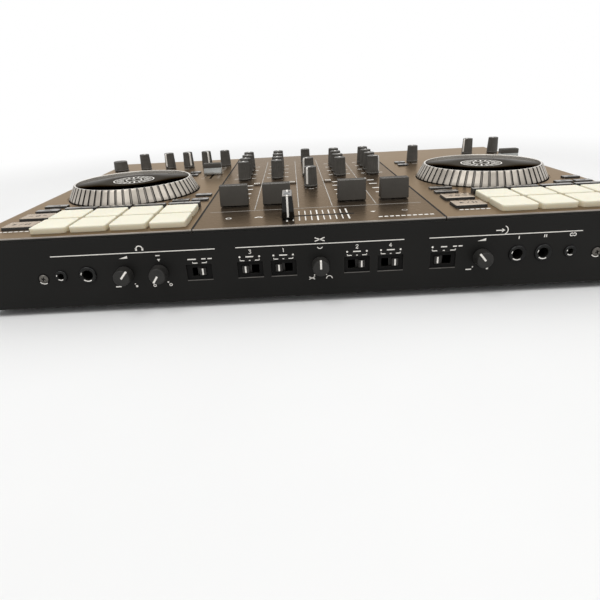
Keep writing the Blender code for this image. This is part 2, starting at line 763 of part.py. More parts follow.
def build_pad_mat(side):
    name = side + "_pad_mat"
    left, front = deck_left[side] + pads_left, front_y + PAD_FRONT
    bm = bmesh.new()
    add_box(
        bm,
        (left - MAT_BORDER, front - MAT_BORDER, seat_z - MAT_THICK),
        (left + pads_width + MAT_BORDER, front + pads_depth + MAT_BORDER, seat_z),
    )
    mat = add_part(name, mesh_from(name, bm), finishes["pad"])
    pads = bmesh.new()
    height = PAD_RISE + PANEL_THICK + SEAT_GAP + FUSE
    for centre in pad_centres(side):
        place = (centre.x, centre.y, top_z + PAD_RISE - height / 2)
        add_rounded_box(pads, place, (PAD_WIDTH, PAD_DEPTH, height), PAD_CORNER)
    join(mat, pads)


def build_buttons(side):
    for kind, centre in button_centres(side):
        name = f"{side}_{kind}_button"
        body_height = BUTTON_RISE + PANEL_THICK + RUN_GAP + FUSE
        bm = bmesh.new()
        size = (BUTTON_WIDTH, BUTTON_DEPTH, body_height)
        add_rounded_box(bm, (0, 0, BUTTON_RISE - body_height / 2), size, BUTTON_CORNER)
        button = add_part(name, mesh_from(name, bm), finishes["button"], centre)
        flange = bmesh.new()
        border = 2 * (BUTTON_FLANGE + RUN_GAP)
        flange_top = -PANEL_THICK - RUN_GAP
        size = (BUTTON_WIDTH + border, BUTTON_DEPTH + border, FLANGE_THICK)
        add_rounded_box(flange, (0, 0, flange_top - FLANGE_THICK / 2), size, BUTTON_CORNER, steps=1)
        combine(button, "UNION", add_cutter(name + "_join", mesh_from(name + "_join", flange), centre))


def build_jog(side):
    """A turned wheel with a flared side, ribbed by grooves that each lie in one facet."""
    name = side + "_jog_wheel"
    points = (
        (0, JOG_RISE - JOG_DISC_DROP),
        (jog_disc_radius, JOG_RISE - JOG_DISC_DROP),
        (jog_disc_radius, JOG_RISE),
        (jog_top_radius, JOG_RISE),
        (JOG_RADIUS, JOG_LIP),
        (JOG_RADIUS, -JOG_SKIRT),
        (SPINDLE_RADIUS, -JOG_SKIRT),
        (SPINDLE_RADIUS, -JOG_SKIRT - SPINDLE_LENGTH),
        (0, -JOG_SKIRT - SPINDLE_LENGTH),
    )
    centre = deck_point(side, jog_x, jog_y)
    wheel = add_part(name, profile_mesh(name, points, closed=False), finishes["jog"], centre)
    turn(wheel, JOG_RIBS)
    facet = math.cos(math.pi / JOG_RIBS)
    low = Vector((JOG_RADIUS * facet, 0, JOG_LIP))
    high = Vector((jog_top_radius * facet, 0, JOG_RISE))
    slope = (high - low).normalized()
    outward = Vector((slope.z, 0, -slope.x))
    sideways = Vector((0, 1, 0))
    frame = Matrix((outward, sideways, slope)).transposed().to_4x4()
    frame.translation = (low + high) / 2
    length = (high - low).length - 2 * RIB_END
    size = Matrix.Diagonal((2 * RIB_GROOVE_DEPTH, RIB_GROOVE_WIDTH, length, 1))
    grooves = bmesh.new()
    for rib in range(JOG_RIBS):
        angle = 2 * math.pi * (rib + 0.5) / JOG_RIBS
        matrix = Matrix.Rotation(angle, 4, "Z") @ frame @ size
        bmesh.ops.create_cube(grooves, size=1, matrix=matrix)
    cutter = add_cutter(name + "_cut", mesh_from(name + "_cut", grooves), centre)
    combine(wheel, "DIFFERENCE", cutter)


def fader_cap(name, width, depth, height, location, turned):
    """A cap with sloping faces and a finger groove across its top, on a flat stem."""
    bm = bmesh.new()
    matrix = Matrix.Translation((0, 0, FADER_LIFT + height / 2)) @ Matrix.Diagonal((width, depth, height, 1))
    bmesh.ops.create_cube(bm, size=1, matrix=matrix)
    for vertex in bm.verts:
        if vertex.co.z > FADER_LIFT + height / 2:
            vertex.co.y -= math.copysign(CAP_TAPER, vertex.co.y)
    cap = add_part(name, mesh_from(name, bm), finishes["knob"], location)
    cap.rotation_euler = (0, 0, math.radians(90) if turned else 0)
    stem = bmesh.new()
    foot = track_z - STEM_IN_TRACK - top_z
    add_box(
        stem,
        (-STEM_WIDTH / 2, -STEM_LENGTH / 2, foot),
        (STEM_WIDTH / 2, STEM_LENGTH / 2, FADER_LIFT + FUSE),
    )
    joined = add_cutter(name + "_join", mesh_from(name + "_join", stem), location)
    joined.rotation_euler = cap.rotation_euler
    combine(cap, "UNION", joined)
    groove = bmesh.new()
    rim = FADER_LIFT + height
    half = CAP_GROOVE / 2
    add_box(
        groove,
        (-width / 2 - CUT_PAST, -half, rim - CAP_GROOVE),
        (width / 2 + CUT_PAST, half, rim + CUT_PAST),
    )
    line = add_cutter(name + "_cut", mesh_from(name + "_cut", groove), location)
    line.rotation_euler = cap.rotation_euler
    combine(cap, "DIFFERENCE", line)


def build_faders():
    for channel in channel_x:
        place = channel_fader_centre(channel) - Vector((0, CHANNEL_TRAVEL / 2, 0))
        size = (CHANNEL_CAP_WIDTH, CHANNEL_CAP_DEPTH, CHANNEL_CAP_HEIGHT)
        fader_cap(f"channel_{channel}_fader_cap", *size, place, turned=False)
    place = Vector((-CROSS_TRAVEL / 2, front_y + CROSS_Y, top_z))
    size = (CROSS_CAP_WIDTH, CROSS_CAP_DEPTH, CROSS_CAP_HEIGHT)
    fader_cap("crossfader_cap", *size, place, turned=True)
    for side in deck_left:
        place = tempo_centre(side) + Vector((0, TEMPO_FROM_END - TEMPO_TRAVEL / 2, 0))
        size = (TEMPO_CAP_WIDTH, TEMPO_CAP_DEPTH, TEMPO_CAP_HEIGHT)
        fader_cap(f"{side}_tempo_cap", *size, place, turned=False)


def knob_mesh(name, radius, tip_radius, height, shaft_length):
    bm = bmesh.new()
    levels = (
        (-shaft_length, SHAFT_RADIUS, SHAFT_RADIUS),
        (RUN_GAP, SHAFT_RADIUS, SHAFT_RADIUS),
        (RUN_GAP, radius, radius - FLUTE_DEPTH),
        (height, tip_radius, tip_radius - FLUTE_DEPTH),
    )
    add_stack(bm, levels, 2 * KNOB_FLUTES)
    mesh = mesh_from(name, bm)
    mesh.materials.append(finishes["knob"])
    return mesh


def build_knobs():
    shaft = PANEL_THICK + SHAFT_IN
    common = knob_mesh("panel_knob", KNOB_RADIUS, KNOB_TIP_RADIUS, KNOB_HEIGHT, shaft)
    special = {
        "browse_knob": knob_mesh("browse_knob", BROWSE_RADIUS, BROWSE_TIP_RADIUS, BROWSE_HEIGHT, shaft),
        "left_effect_dial": knob_mesh("wide_dial", DIAL_RADIUS, DIAL_TIP_RADIUS, DIAL_HEIGHT, shaft),
    }
    for name, point in knob_points().items():
        add_part(name, special.get(name, common), finishes["knob"], point)
    height = RUN_GAP + FRONT_KNOB_HEIGHT
    front = knob_mesh("front_knob", FRONT_KNOB_RADIUS, FRONT_KNOB_TIP_RADIUS, height, FRONT_THICK + SHAFT_IN)
    places = {
        "headphone_level_knob": HEADPHONE_LEVEL_X,
        "headphone_mix_knob": HEADPHONE_MIX_X,
        "crossfader_curve_knob": CURVE_X,
        "aux_level_knob": AUX_LEVEL_X,
    }
    for name, x in places.items():
        place = (x, front_y, top_z - CONTROL_DROP)
        add_part(name, front, finishes["knob"], place, (math.radians(90), 0, 0))


def build_board():
    half = body_width / 2 - TRAY_THICK - BOARD_MARGIN
    low_y = front_y + FRONT_THICK + BOARD_MARGIN
    high_y = rear_y - REAR_THICK - BOARD_MARGIN
    bm = bmesh.new()
    add_box(bm, (-half, low_y, board_z - BOARD_THICK), (half, high_y, board_z))
    board = add_part("main_board", mesh_from("main_board", bm), finishes["board"])
    added = bmesh.new()
    grooves = bmesh.new()
    base = board_z - FUSE

    def add_track(centre, travel, across):
        long_half = (travel + STEM_LENGTH) / 2 + TRACK_END
        groove_half = (travel + STEM_LENGTH) / 2 + RUN_GAP
        wide = Vector((long_half, TRACK_WIDTH / 2, 0))
        narrow = Vector((groove_half, slot_half, 0))
        if not across:
            wide, narrow = wide.yxz, narrow.yxz
        flat = Vector((centre.x, centre.y, 0))
        add_box(added, flat - wide + Vector((0, 0, base)), flat + wide + Vector((0, 0, track_z)))
        add_box(
            grooves,
            flat - narrow + Vector((0, 0, track_z - STEM_IN_TRACK - TRACK_FLOOR)),
            flat + narrow + Vector((0, 0, track_z + CUT_PAST)),
        )

    for channel in channel_x:
        add_track(channel_fader_centre(channel), CHANNEL_TRAVEL, across=False)
    add_track(Vector((0, front_y + CROSS_Y, 0)), CROSS_TRAVEL, across=True)
    pot_top = under_z - SHAFT_IN - SEAT_GAP
    for point in knob_points().values():
        corner = Vector((POT_SIDE / 2, POT_SIDE / 2, 0))
        flat = Vector((point.x, point.y, 0))
        add_box(added, flat - corner + Vector((0, 0, base)), flat + corner + Vector((0, 0, pot_top)))
    switch_top = under_z - RUN_GAP - FLANGE_THICK - BUTTON_TRAVEL - SEAT_GAP
    mat_top = seat_z - MAT_THICK - SEAT_GAP
    for side in deck_left:
        add_track(tempo_centre(side), TEMPO_TRAVEL, across=False)
        for _, centre in button_centres(side):
            corner = Vector((SWITCH_SIDE / 2, SWITCH_SIDE / 2, 0))
            flat = Vector((centre.x, centre.y, 0))
            add_box(added, flat - corner + Vector((0, 0, base)), flat + corner + Vector((0, 0, switch_top)))
        for centre in pad_centres(side):
            corner = Vector((PILLAR_SIDE / 2, PILLAR_SIDE / 2, 0))
            flat = Vector((centre.x, centre.y, 0))
            add_box(added, flat - corner + Vector((0, 0, base)), flat + corner + Vector((0, 0, mat_top)))
    join(board, added)
    cut(board, grooves)


clear_scene()
parts = new_collection("dj_controller")
cutters = new_collection("cutters")
finishes = {
    "casing": new_material("black_casing", (0.016, 0.016, 0.017), 0.45),
    "panel": new_material("dark_panel", (0.030, 0.030, 0.033), 0.32, 0.6),
    "pad": new_material("pale_silicone", (0.80, 0.78, 0.72), 0.55),
    "button": new_material("gloss_button", (0.012, 0.012, 0.013), 0.18),
    "jog": new_material("jog_black", (0.035, 0.035, 0.038), 0.30),
    "knob": new_material("soft_black", (0.045, 0.045, 0.048), 0.50),
    "board": new_material("circuit_board", (0.02, 0.10, 0.04), 0.50),
}
build_tray()
build_front_panel()
build_rear_panel()
for deck in deck_left:
    build_deck_panel(deck)
    build_pad_mat(deck)
    build_buttons(deck)
    build_jog(deck)
build_mixer_panel()
build_board()
build_switches()
build_faders()
build_knobs()
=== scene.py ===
import json
import math

import bmesh
import bpy
from mathutils import Matrix, Vector


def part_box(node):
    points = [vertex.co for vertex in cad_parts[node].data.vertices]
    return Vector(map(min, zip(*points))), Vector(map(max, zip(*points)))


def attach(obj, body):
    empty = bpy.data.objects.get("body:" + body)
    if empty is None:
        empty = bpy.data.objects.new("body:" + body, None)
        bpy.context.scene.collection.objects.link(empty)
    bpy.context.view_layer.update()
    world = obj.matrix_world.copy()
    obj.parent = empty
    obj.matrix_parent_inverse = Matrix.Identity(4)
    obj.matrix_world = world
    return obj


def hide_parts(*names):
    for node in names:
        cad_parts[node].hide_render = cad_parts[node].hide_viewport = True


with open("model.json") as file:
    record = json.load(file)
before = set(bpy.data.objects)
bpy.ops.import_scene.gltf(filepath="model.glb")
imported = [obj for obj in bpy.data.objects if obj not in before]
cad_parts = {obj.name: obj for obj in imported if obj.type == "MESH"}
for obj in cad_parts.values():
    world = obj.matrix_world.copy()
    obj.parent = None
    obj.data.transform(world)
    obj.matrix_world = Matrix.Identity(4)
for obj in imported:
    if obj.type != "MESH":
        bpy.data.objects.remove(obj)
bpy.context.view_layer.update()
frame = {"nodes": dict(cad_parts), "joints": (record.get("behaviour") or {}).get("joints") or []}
print("frame loaded with", len(frame["nodes"]), "nodes")

# shapes are drawn in millimetres and scaled when they become a mesh
mm = 0.001
scene = bpy.context.scene
ink = 0.05  # how far a printed mark stands out of its face, and how far it reaches in
sides = (-1, 1)
decks = ("left", "right")
casing = {"frontY": -153.45, "rearY": 154.35, "topZ": 51, "half": 213, "seam": 76,
          "deckLeft": {"left": -213, "right": 76}}
pivots = {j["child"]: [v / mm for v in j["pos_m"]] for j in frame["joints"] if "pos_m" in j}


def shift(x, y, z):
    return Matrix.Translation((x, y, z))


def spin(degrees, axis="Z"):
    return Matrix.Rotation(math.radians(degrees), 4, axis)


# places on the casing: local z points out of the face
def onTop(x, back):
    return shift(x, casing["frontY"] + back, casing["topZ"])


def onFront(x, drop):
    return shift(x, casing["frontY"], casing["topZ"] - drop) @ spin(90, "X")


def onRear(x, z):
    return shift(x, casing["rearY"], z) @ spin(180) @ spin(90, "X")


def onSide(side, y, z, out):
    return shift(side * (casing["half"] + out), y, z) @ spin(90 * side) @ spin(90, "X")


def underneath(x, y, z):
    return shift(x, y, z) @ spin(180, "X")


def pick(look, *names):
    return [look[name] for name in names]


def middleOf(node):
    low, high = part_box(node)
    return (low + high) / (2 * mm)


def addObject(name, data):
    thing = bpy.data.objects.new(name, data)
    scene.collection.objects.link(thing)
    return thing


# shapes, each a closed solid
def skinRings(bm, rings, loop=False):
    pairs = list(zip(rings, rings[1:]))
    if loop:
        pairs.append((rings[-1], rings[0]))
    for low, high in pairs:
        count = max(len(low), len(high))
        for i in range(count):
            k = (i + 1) % count
            if len(low) == 1:
                bm.faces.new((low[0], high[k], high[i]))
            elif len(high) == 1:
                bm.faces.new((low[i], low[k], high[0]))
            else:
                bm.faces.new((low[i], low[k], high[k], high[i]))
    for end in (rings[0], rings[-1]):
        if not loop and len(end) > 2:
            bm.faces.new(end)
    bmesh.ops.recalc_face_normals(bm, faces=bm.faces)
    return bm


def arcPoints(radius, start, end, steps):
    angles = [math.radians(start + (end - start) * i / steps) for i in range(steps + 1)]
    return [(radius * math.cos(a), radius * math.sin(a)) for a in angles]


def latheShape(profile, steps=48, wave=None):
    # radius and height of each ring, closed on itself unless it starts on the axis; wave is for flutes
    bm = bmesh.new()
    rings = []
    for radius, height in profile:
        ring = []
        for i in range(steps if radius else 1):
            angle = 2 * math.pi * i / steps
            r = radius - (wave(angle, height) if wave else 0)
            ring.append(bm.verts.new((r * math.cos(angle), r * math.sin(angle), height)))
        rings.append(ring)
    return skinRings(bm, rings, profile[0][0] > 0)


def stackShape(width, depth, corner, levels, steps=5):
    # rounded outlines from the bottom up: height, inset, and the inset in depth where it differs
    bm = bmesh.new()
    rings = []
    for height, insetX, *other in levels:
        insetY = other[0] if other else insetX
        w, d = width / 2 - insetX, depth / 2 - insetY
        r = max(0.05, min(corner - min(insetX, insetY), w * 0.98, d * 0.98))
        ring = []
        for start, alongX, alongY in ((0, 1, 1), (90, -1, 1), (180, -1, -1), (270, 1, -1)):
            for x, y in arcPoints(r, start, start + 90, steps):
                ring.append(bm.verts.new((alongX * (w - r) + x, alongY * (d - r) + y, height)))
        rings.append(ring)
    return skinRings(bm, rings)


def boxShape(width, depth, corner, low, high, steps=2):
    return stackShape(width, depth, corner, [(low, 0), (high, 0)], steps)


def prismShape(points, high=ink, low=-ink):
    bm = bmesh.new()
    return skinRings(bm, [[bm.verts.new((x, y, z)) for x, y in points] for z in (low, high)])


def lineShape(x0, y0, x1, y1, width, high=ink, low=-ink):
    length = math.hypot(x1 - x0, y1 - y0)
    nx, ny = -(y1 - y0) / length * width / 2, (x1 - x0) / length * width / 2
    points = [(x0 - nx, y0 - ny), (x1 - nx, y1 - ny), (x1 + nx, y1 + ny), (x0 + nx, y0 + ny)]
    return prismShape(points, high, low)


def dashShape(half, width, high=ink, low=-ink):
    return lineShape(-half, 0, half, 0, width, high, low)


def dotShape(radius, high=ink, low=-ink, corners=12):
    return prismShape(arcPoints(radius, 0, 360, corners)[:-1], high, low)


def arcShape(radius, width, start, end, high=ink, low=-ink, steps=16):
    outer = arcPoints(radius + width / 2, start, end, steps)
    inner = arcPoints(radius - width / 2, end, start, steps)
    return prismShape(outer + inner, high, low)


def ringShape(outer, inner, high=ink, low=-ink, steps=40):
    return latheShape([(outer, low), (outer, high), (inner, high), (inner, low)], steps)


def pinShape(radius, bevel, low, high, steps):
    profile = [(0, low), (radius - bevel, low), (radius, low + bevel), (radius, high), (0, high)]
    return latheShape(profile, steps)


def ribbonShape(path, width, thick=0.1, sunk=0.2):
    # a flat strip laid along points in the y-z plane
    bm = bmesh.new()
    rings = []
    for i, (y, z) in enumerate(path):
        before, after = path[max(i - 1, 0)], path[min(i + 1, len(path) - 1)]
        dy, dz = after[0] - before[0], after[1] - before[1]
        length = math.hypot(dy, dz)
        ny, nz = -dz / length, dy / length
        inner, outer = (y - ny * sunk, z - nz * sunk), (y + ny * thick, z + nz * thick)
        corners = ((-1, inner), (1, inner), (1, outer), (-1, outer))
        rings.append([bm.verts.new((side * width / 2, *point)) for side, point in corners])
    return skinRings(bm, rings)


def carve(bm, cutters):
    # exact Boolean cuts, on throwaway objects
    used = []
    for shape in [bm] + cutters:
        mesh = bpy.data.meshes.new("blank")
        shape.to_mesh(mesh)
        used.append(addObject("blank", mesh))
    blank = used[0]
    for tool in used[1:]:
        cut = blank.modifiers.new("cut", "BOOLEAN")
        cut.object, cut.operation, cut.solver = tool, "DIFFERENCE", "EXACT"
    bpy.context.view_layer.update()
    result = bpy.data.meshes.new_from_object(blank.evaluated_get(bpy.context.evaluated_depsgraph_get()))
    out = bmesh.new()
    out.from_mesh(result)
    for mesh in [thing.data for thing in used] + [result]:
        bpy.data.meshes.remove(mesh)
    return out


# painted shade: faces that do not face up take the darker finish, on play and cue buttons and flat keys
def shadeSides(bm, finish):
    bm.normal_update()
    for face in bm.faces:
        if face.normal.z < 0.6:
            face.material_index = finish
    return bm


# a piece is a pile of rows: a shape, the number of its finish and its place in the piece
def makePiece(name, pile, finishes, place=None, sharp=34):
    points, faces, numbers = [], [], []
    for bm, finish, *spot in pile:
        turn = spot[0] if spot else Matrix()
        start = len(points)
        bm.verts.index_update()
        points += [[c * mm for c in turn @ v.co] for v in bm.verts]
        for face in bm.faces:
            faces.append([start + v.index for v in face.verts])
            numbers.append(finish + face.material_index)
    mesh = bpy.data.meshes.new(name)
    mesh.from_pydata(points, [], faces)
    for finish in finishes:
        mesh.materials.append(finish)
    mesh.polygons.foreach_set("material_index", numbers)
    mesh.shade_smooth()
    mesh.set_sharp_from_angle(angle=math.radians(sharp))
    mesh.update()
    piece = addObject(name, mesh)
    seat = place.copy() if place else Matrix()
    seat.translation *= mm
    piece.matrix_world = seat
    return piece


def dress(piece, body, slot, *nodes):
    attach(piece, body)
    if nodes:
        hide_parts(*nodes)


def fixPiece(name, pile, finishes, slot, **more):
    # a piece that stays with the casing
    dress(makePiece(name, pile, finishes, **more), "casing", slot)


def swapNode(node, pile, finishes, slot, place, **more):
    # a piece that takes its node's place, moves with it and has its name
    words = node.split("_")
    name = words[0] + "".join(w.title() for w in words[1:])
    dress(makePiece(name, pile, finishes, place, **more), node, slot, node)


# finishes: cloudy tone, fine grain in roughness and bump, and paler edges that are partly wear and partly
# painted highlight
def feed(tree, node, values):
    # each value is a constant or the socket that the input takes it from
    for socket, value in values.items():
        if isinstance(value, bpy.types.NodeSocket):
            tree.links.new(value, node.inputs[socket])
        else:
            node.inputs[socket].default_value = value
    return node


def addNode(tree, kind, values=None, **settings):
    node = tree.nodes.new("ShaderNode" + kind)
    for name, setting in settings.items():
        setattr(node, name, setting)
    return feed(tree, node, values or {})


def mixTone(tree, share, colour, tone):
    return addNode(tree, "Mix", {"Factor": share, 6: colour, 7: (*tone, 1)}, data_type="RGBA").outputs[2]


def makeFinish(name, dark, light, rough, texture, edge=None, shade=None, brushed=(1, 1, 1),
               metal=0, gleam=0.5, tint=(1, 1, 1)):
    # texture is cloud, grain and bump; edge is radius, paler edge tone and amount, the paler edge partly wear
    # and partly painted highlight; shade is low, high and tone of a painted shade
    cloud, grain, bump = texture
    finish = bpy.data.materials.new(name)
    finish.use_nodes = True
    tree = finish.node_tree
    place = addNode(tree, "TexCoord").outputs["Object"]
    drawn = addNode(tree, "Mapping", {"Vector": place, "Scale": brushed}).outputs["Vector"]
    clouds = addNode(tree, "TexNoise", {"Vector": place, "Scale": cloud, "Detail": 5}).outputs["Fac"]
    grains = addNode(tree, "TexNoise", {"Vector": drawn, "Scale": grain, "Detail": 3}).outputs["Fac"]
    ramp = addNode(tree, "ValToRGB", {"Fac": clouds})
    for stop, position, tone in zip(ramp.color_ramp.elements, (0.32, 0.68), (dark, light)):
        stop.position = position
        stop.color = (*tone, 1)
    colour = ramp.outputs["Color"]
    gloss = addNode(tree, "MapRange", {"Value": grains, "From Min": 0.3, "From Max": 0.7,
                                       "To Min": rough[0], "To Max": rough[1]})
    relief = addNode(tree, "Bump", {"Height": grains, "Strength": bump, "Distance": 0.0001})
    if shade:  # painted shade: a darker tone towards the foot of the piece
        low, high, tone = shade
        height = addNode(tree, "SeparateXYZ", {"Vector": place}).outputs["Z"]
        fade = addNode(tree, "MapRange", {"Value": height, "From Min": high * mm, "From Max": low * mm},
                       interpolation_type="SMOOTHSTEP")
        colour = mixTone(tree, fade.outputs["Result"], colour, tone)
    # rounded normals on the edges, and a paler tone there that is partly wear and partly painted highlight
    if edge:
        radius, wornAndLitTone, amount = edge
        rounded = addNode(tree, "Bevel", {"Radius": radius * mm}, samples=4).outputs["Normal"]
        feed(tree, relief, {"Normal": rounded})
        flat = addNode(tree, "NewGeometry").outputs["Normal"]
        turned = addNode(tree, "VectorMath", {0: rounded, 1: flat}, operation="DOT_PRODUCT").outputs["Value"]
        rubAndHighlight = addNode(tree, "MapRange", {"Value": turned, "From Min": 0.99, "From Max": 0.8,
                                         "To Max": amount})
        patchy = addNode(tree, "Math", {0: rubAndHighlight.outputs["Result"], 1: clouds}, operation="MULTIPLY")
        colour = mixTone(tree, patchy.outputs["Value"], colour, wornAndLitTone)
    feed(tree, tree.nodes["Principled BSDF"], {
        "Base Color": colour, "Roughness": gloss.outputs["Result"], "Normal": relief.outputs["Normal"],
        "Metallic": metal, "Specular IOR Level": gleam, "Specular Tint": (*tint, 1)})
    return finish


deckMetal = makeFinish(
    "deckMetal", (0.192, 0.148, 0.107), (0.212, 0.164, 0.119), (0.28, 0.34), (9, 900, 0.012),
    edge=(0.3, (0.4, 0.36, 0.32), 1), brushed=(0.08, 1, 1), metal=0.9, gleam=0.3, tint=(0.8, 0.675, 0.535))
mixerMetal = makeFinish(
    "mixerMetal", (0.117, 0.0915, 0.068), (0.134, 0.106, 0.08), (0.26, 0.32), (9, 900, 0.012),
    edge=(0.3, (0.34, 0.31, 0.27), 1), brushed=(0.08, 1, 1), metal=0.85, gleam=0.3, tint=(0.73, 0.61, 0.49))
# paler metal of the front lip, a painted highlight
plateEdgeHighlight = makeFinish(
    "plateEdgeHighlight", (0.2, 0.18, 0.16), (0.3, 0.275, 0.245), (0.3, 0.42), (60, 1200, 0.05), metal=0.9)
casingPaint = makeFinish(
    "casingPaint", (0.0056, 0.0053, 0.0046), (0.009, 0.0085, 0.0075), (0.44, 0.58), (9, 2600, 0.14),
    edge=(0.4, (0.1, 0.094, 0.085), 1.1), gleam=0.16)
# painted shade: the pad sides darken towards their foot, from 54.4 mm down to 53 mm
padSilicone = makeFinish(
    "padSilicone", (0.82, 0.785, 0.635), (0.86, 0.825, 0.67), (0.46, 0.6), (35, 1400, 0.06),
    shade=(53, 54.4, (0.69, 0.62, 0.455)), gleam=0.35)
feed(padSilicone.node_tree, padSilicone.node_tree.nodes["Principled BSDF"], {
    "Subsurface Weight": 0.2, "Subsurface Radius": (1, 0.75, 0.5), "Subsurface Scale": 0.001})
glossKey = makeFinish(
    "glossKey", (0.37, 0.328, 0.278), (0.43, 0.382, 0.324), (0.16, 0.24), (60, 900, 0.02),
    edge=(0.2, (0.24, 0.22, 0.2), 1), metal=1, tint=(1, 0.9, 0.8))
blackPrint = makeFinish(
    "blackPrint", (0.004, 0.004, 0.0036), (0.008, 0.008, 0.007), (0.5, 0.62), (300, 2500, 0.05), gleam=0.2)
keyTop = makeFinish(
    "keyTop", (0.24, 0.228, 0.213), (0.3, 0.285, 0.266), (0.2, 0.28), (80, 1200, 0.03), metal=1)
flatKey = makeFinish(
    "flatKey", (0.016, 0.015, 0.0135), (0.026, 0.024, 0.0215), (0.4, 0.54), (80, 1900, 0.1),
    edge=(0.2, (0.12, 0.11, 0.1), 1), gleam=0.3)
jogRib = makeFinish(
    "jogRib", (0.37, 0.335, 0.288), (0.5, 0.455, 0.395), (0.3, 0.42), (70, 1200, 0.06),
    edge=(0.2, (0.55, 0.53, 0.5), 0.8), metal=0.6)
# near black: painted shade on the wheel's skirt and groove walls, and on the spindle
jogGroove = makeFinish(
    "jogGroove", (0.008, 0.0075, 0.0068), (0.014, 0.013, 0.012), (0.5, 0.65), (60, 1500, 0.1), gleam=0.2)
# groove floors, a darker grey than the ribs, partly painted shade
jogFloor = makeFinish(
    "jogFloor", (0.17, 0.154, 0.134), (0.24, 0.218, 0.19), (0.4, 0.55), (60, 1500, 0.08), metal=0.3)
# the real rim, made paler than the ribs as a painted highlight
jogRim = makeFinish(
    "jogRim", (0.64, 0.6, 0.545), (0.74, 0.7, 0.64), (0.18, 0.28), (60, 900, 0.03), metal=0.9)
jogDisc = makeFinish(
    "jogDisc", (0.021, 0.019, 0.0165), (0.027, 0.0245, 0.0215), (0.05, 0.09), (30, 500, 0.01),
    metal=1, tint=(0.18, 0.165, 0.145))
knobPlastic = makeFinish(
    "knobPlastic", (0.07, 0.0655, 0.058), (0.096, 0.0895, 0.0795), (0.42, 0.56), (120, 2200, 0.12),
    edge=(0.25, (0.2, 0.19, 0.175), 1), gleam=0.35)
frontKnobPlastic = makeFinish(
    "frontKnobPlastic", (0.018, 0.0172, 0.0158), (0.028, 0.0268, 0.0245), (0.4, 0.54), (120, 2200, 0.12),
    edge=(0.3, (0.17, 0.162, 0.15), 1), gleam=0.25)
faderPlastic = makeFinish(
    "faderPlastic", (0.052, 0.0468, 0.0395), (0.068, 0.0612, 0.052), (0.46, 0.6), (70, 2400, 0.12),
    edge=(0.25, (0.24, 0.225, 0.2), 1.2), gleam=0.3)
crossPlastic = makeFinish(
    "crossPlastic", (0.0045, 0.0042, 0.0036), (0.0085, 0.0078, 0.0068), (0.12, 0.2), (70, 900, 0.02),
    edge=(0.25, (0.1, 0.092, 0.084), 0.8), gleam=0.28)
# paler top of the crossfader cap, a painted highlight
crossLitTop = makeFinish("crossLitTop", (0.17, 0.15, 0.13), (0.24, 0.215, 0.19), (0.3, 0.42), (90, 1500, 0.05))
tempoSilver = makeFinish(
    "tempoSilver", (0.3, 0.305, 0.295), (0.4, 0.405, 0.39), (0.22, 0.32), (90, 900, 0.04),
    brushed=(0.05, 1, 1), metal=0.8)
whitePrint = makeFinish("whitePrint", (0.82, 0.79, 0.735), (0.92, 0.89, 0.83), (0.5, 0.62), (300, 2500, 0.05))
greyPrint = makeFinish("greyPrint", (0.4, 0.375, 0.34), (0.52, 0.49, 0.445), (0.5, 0.62), (300, 2500, 0.05))
# grey of the switch recess lips, a painted highlight
lipHighlight = makeFinish("lipHighlight", (0.1, 0.094, 0.085), (0.15, 0.141, 0.128), (0.4, 0.52), (300, 2500, 0.05))
screwSteel = makeFinish(
    "screwSteel", (0.085, 0.079, 0.071), (0.15, 0.14, 0.127), (0.24, 0.36), (300, 1500, 0.08),
    edge=(0.15, (0.44, 0.42, 0.39), 1), metal=1)
socketNickel = makeFinish(
    "socketNickel", (0.76, 0.735, 0.69), (0.86, 0.835, 0.79), (0.1, 0.18), (200, 1200, 0.03), metal=1)
socketGold = makeFinish(
    "socketGold", (0.62, 0.45, 0.19), (0.74, 0.55, 0.25), (0.16, 0.26), (200, 1200, 0.03), metal=1)
socketBlack = makeFinish(
    "socketBlack", (0.005, 0.005, 0.0048), (0.0095, 0.0095, 0.009), (0.16, 0.26), (150, 1600, 0.05),
    edge=(0.2, (0.12, 0.12, 0.11), 0.8), gleam=0.2)
socketRed = makeFinish(
    "socketRed", (0.36, 0.02, 0.016), (0.46, 0.032, 0.026), (0.34, 0.46), (150, 1600, 0.05))
socketWhite = makeFinish(
    "socketWhite", (0.62, 0.61, 0.58), (0.74, 0.73, 0.7), (0.34, 0.46), (150, 1600, 0.05))
# near black: painted shade in gaps, slots, bores and recesses and under the fader caps; the seam lines on top
# are drawn in it too
darkGap = makeFinish(
    "darkGap", (0.0025, 0.0024, 0.0022), (0.005, 0.0048, 0.0044), (0.6, 0.75), (90, 1600, 0.08), gleam=0.12)
footRubber = makeFinish(
    "footRubber", (0.014, 0.014, 0.013), (0.026, 0.025, 0.024), (0.68, 0.82), (120, 1700, 0.25),
    edge=(0.4, (0.08, 0.078, 0.074), 1), gleam=0.3)
boardGreen = makeFinish(
    "boardGreen", (0.01, 0.055, 0.026), (0.018, 0.085, 0.04), (0.3, 0.42), (120, 1400, 0.05))
print("finishes made:", len(bpy.data.materials))

# nodes whose shape stays as packed only take a finish
packedFinish = {"left_deck_panel": deckMetal, "right_deck_panel": deckMetal, "mixer_panel": mixerMetal,
                "front_panel": casingPaint, "rear_panel": casingPaint, "chassis_tray": casingPaint,
                "main_board": boardGreen}
for node, finish in packedFinish.items():
    slots = frame["nodes"][node].data.materials
    slots.clear()
    slots.append(finish)

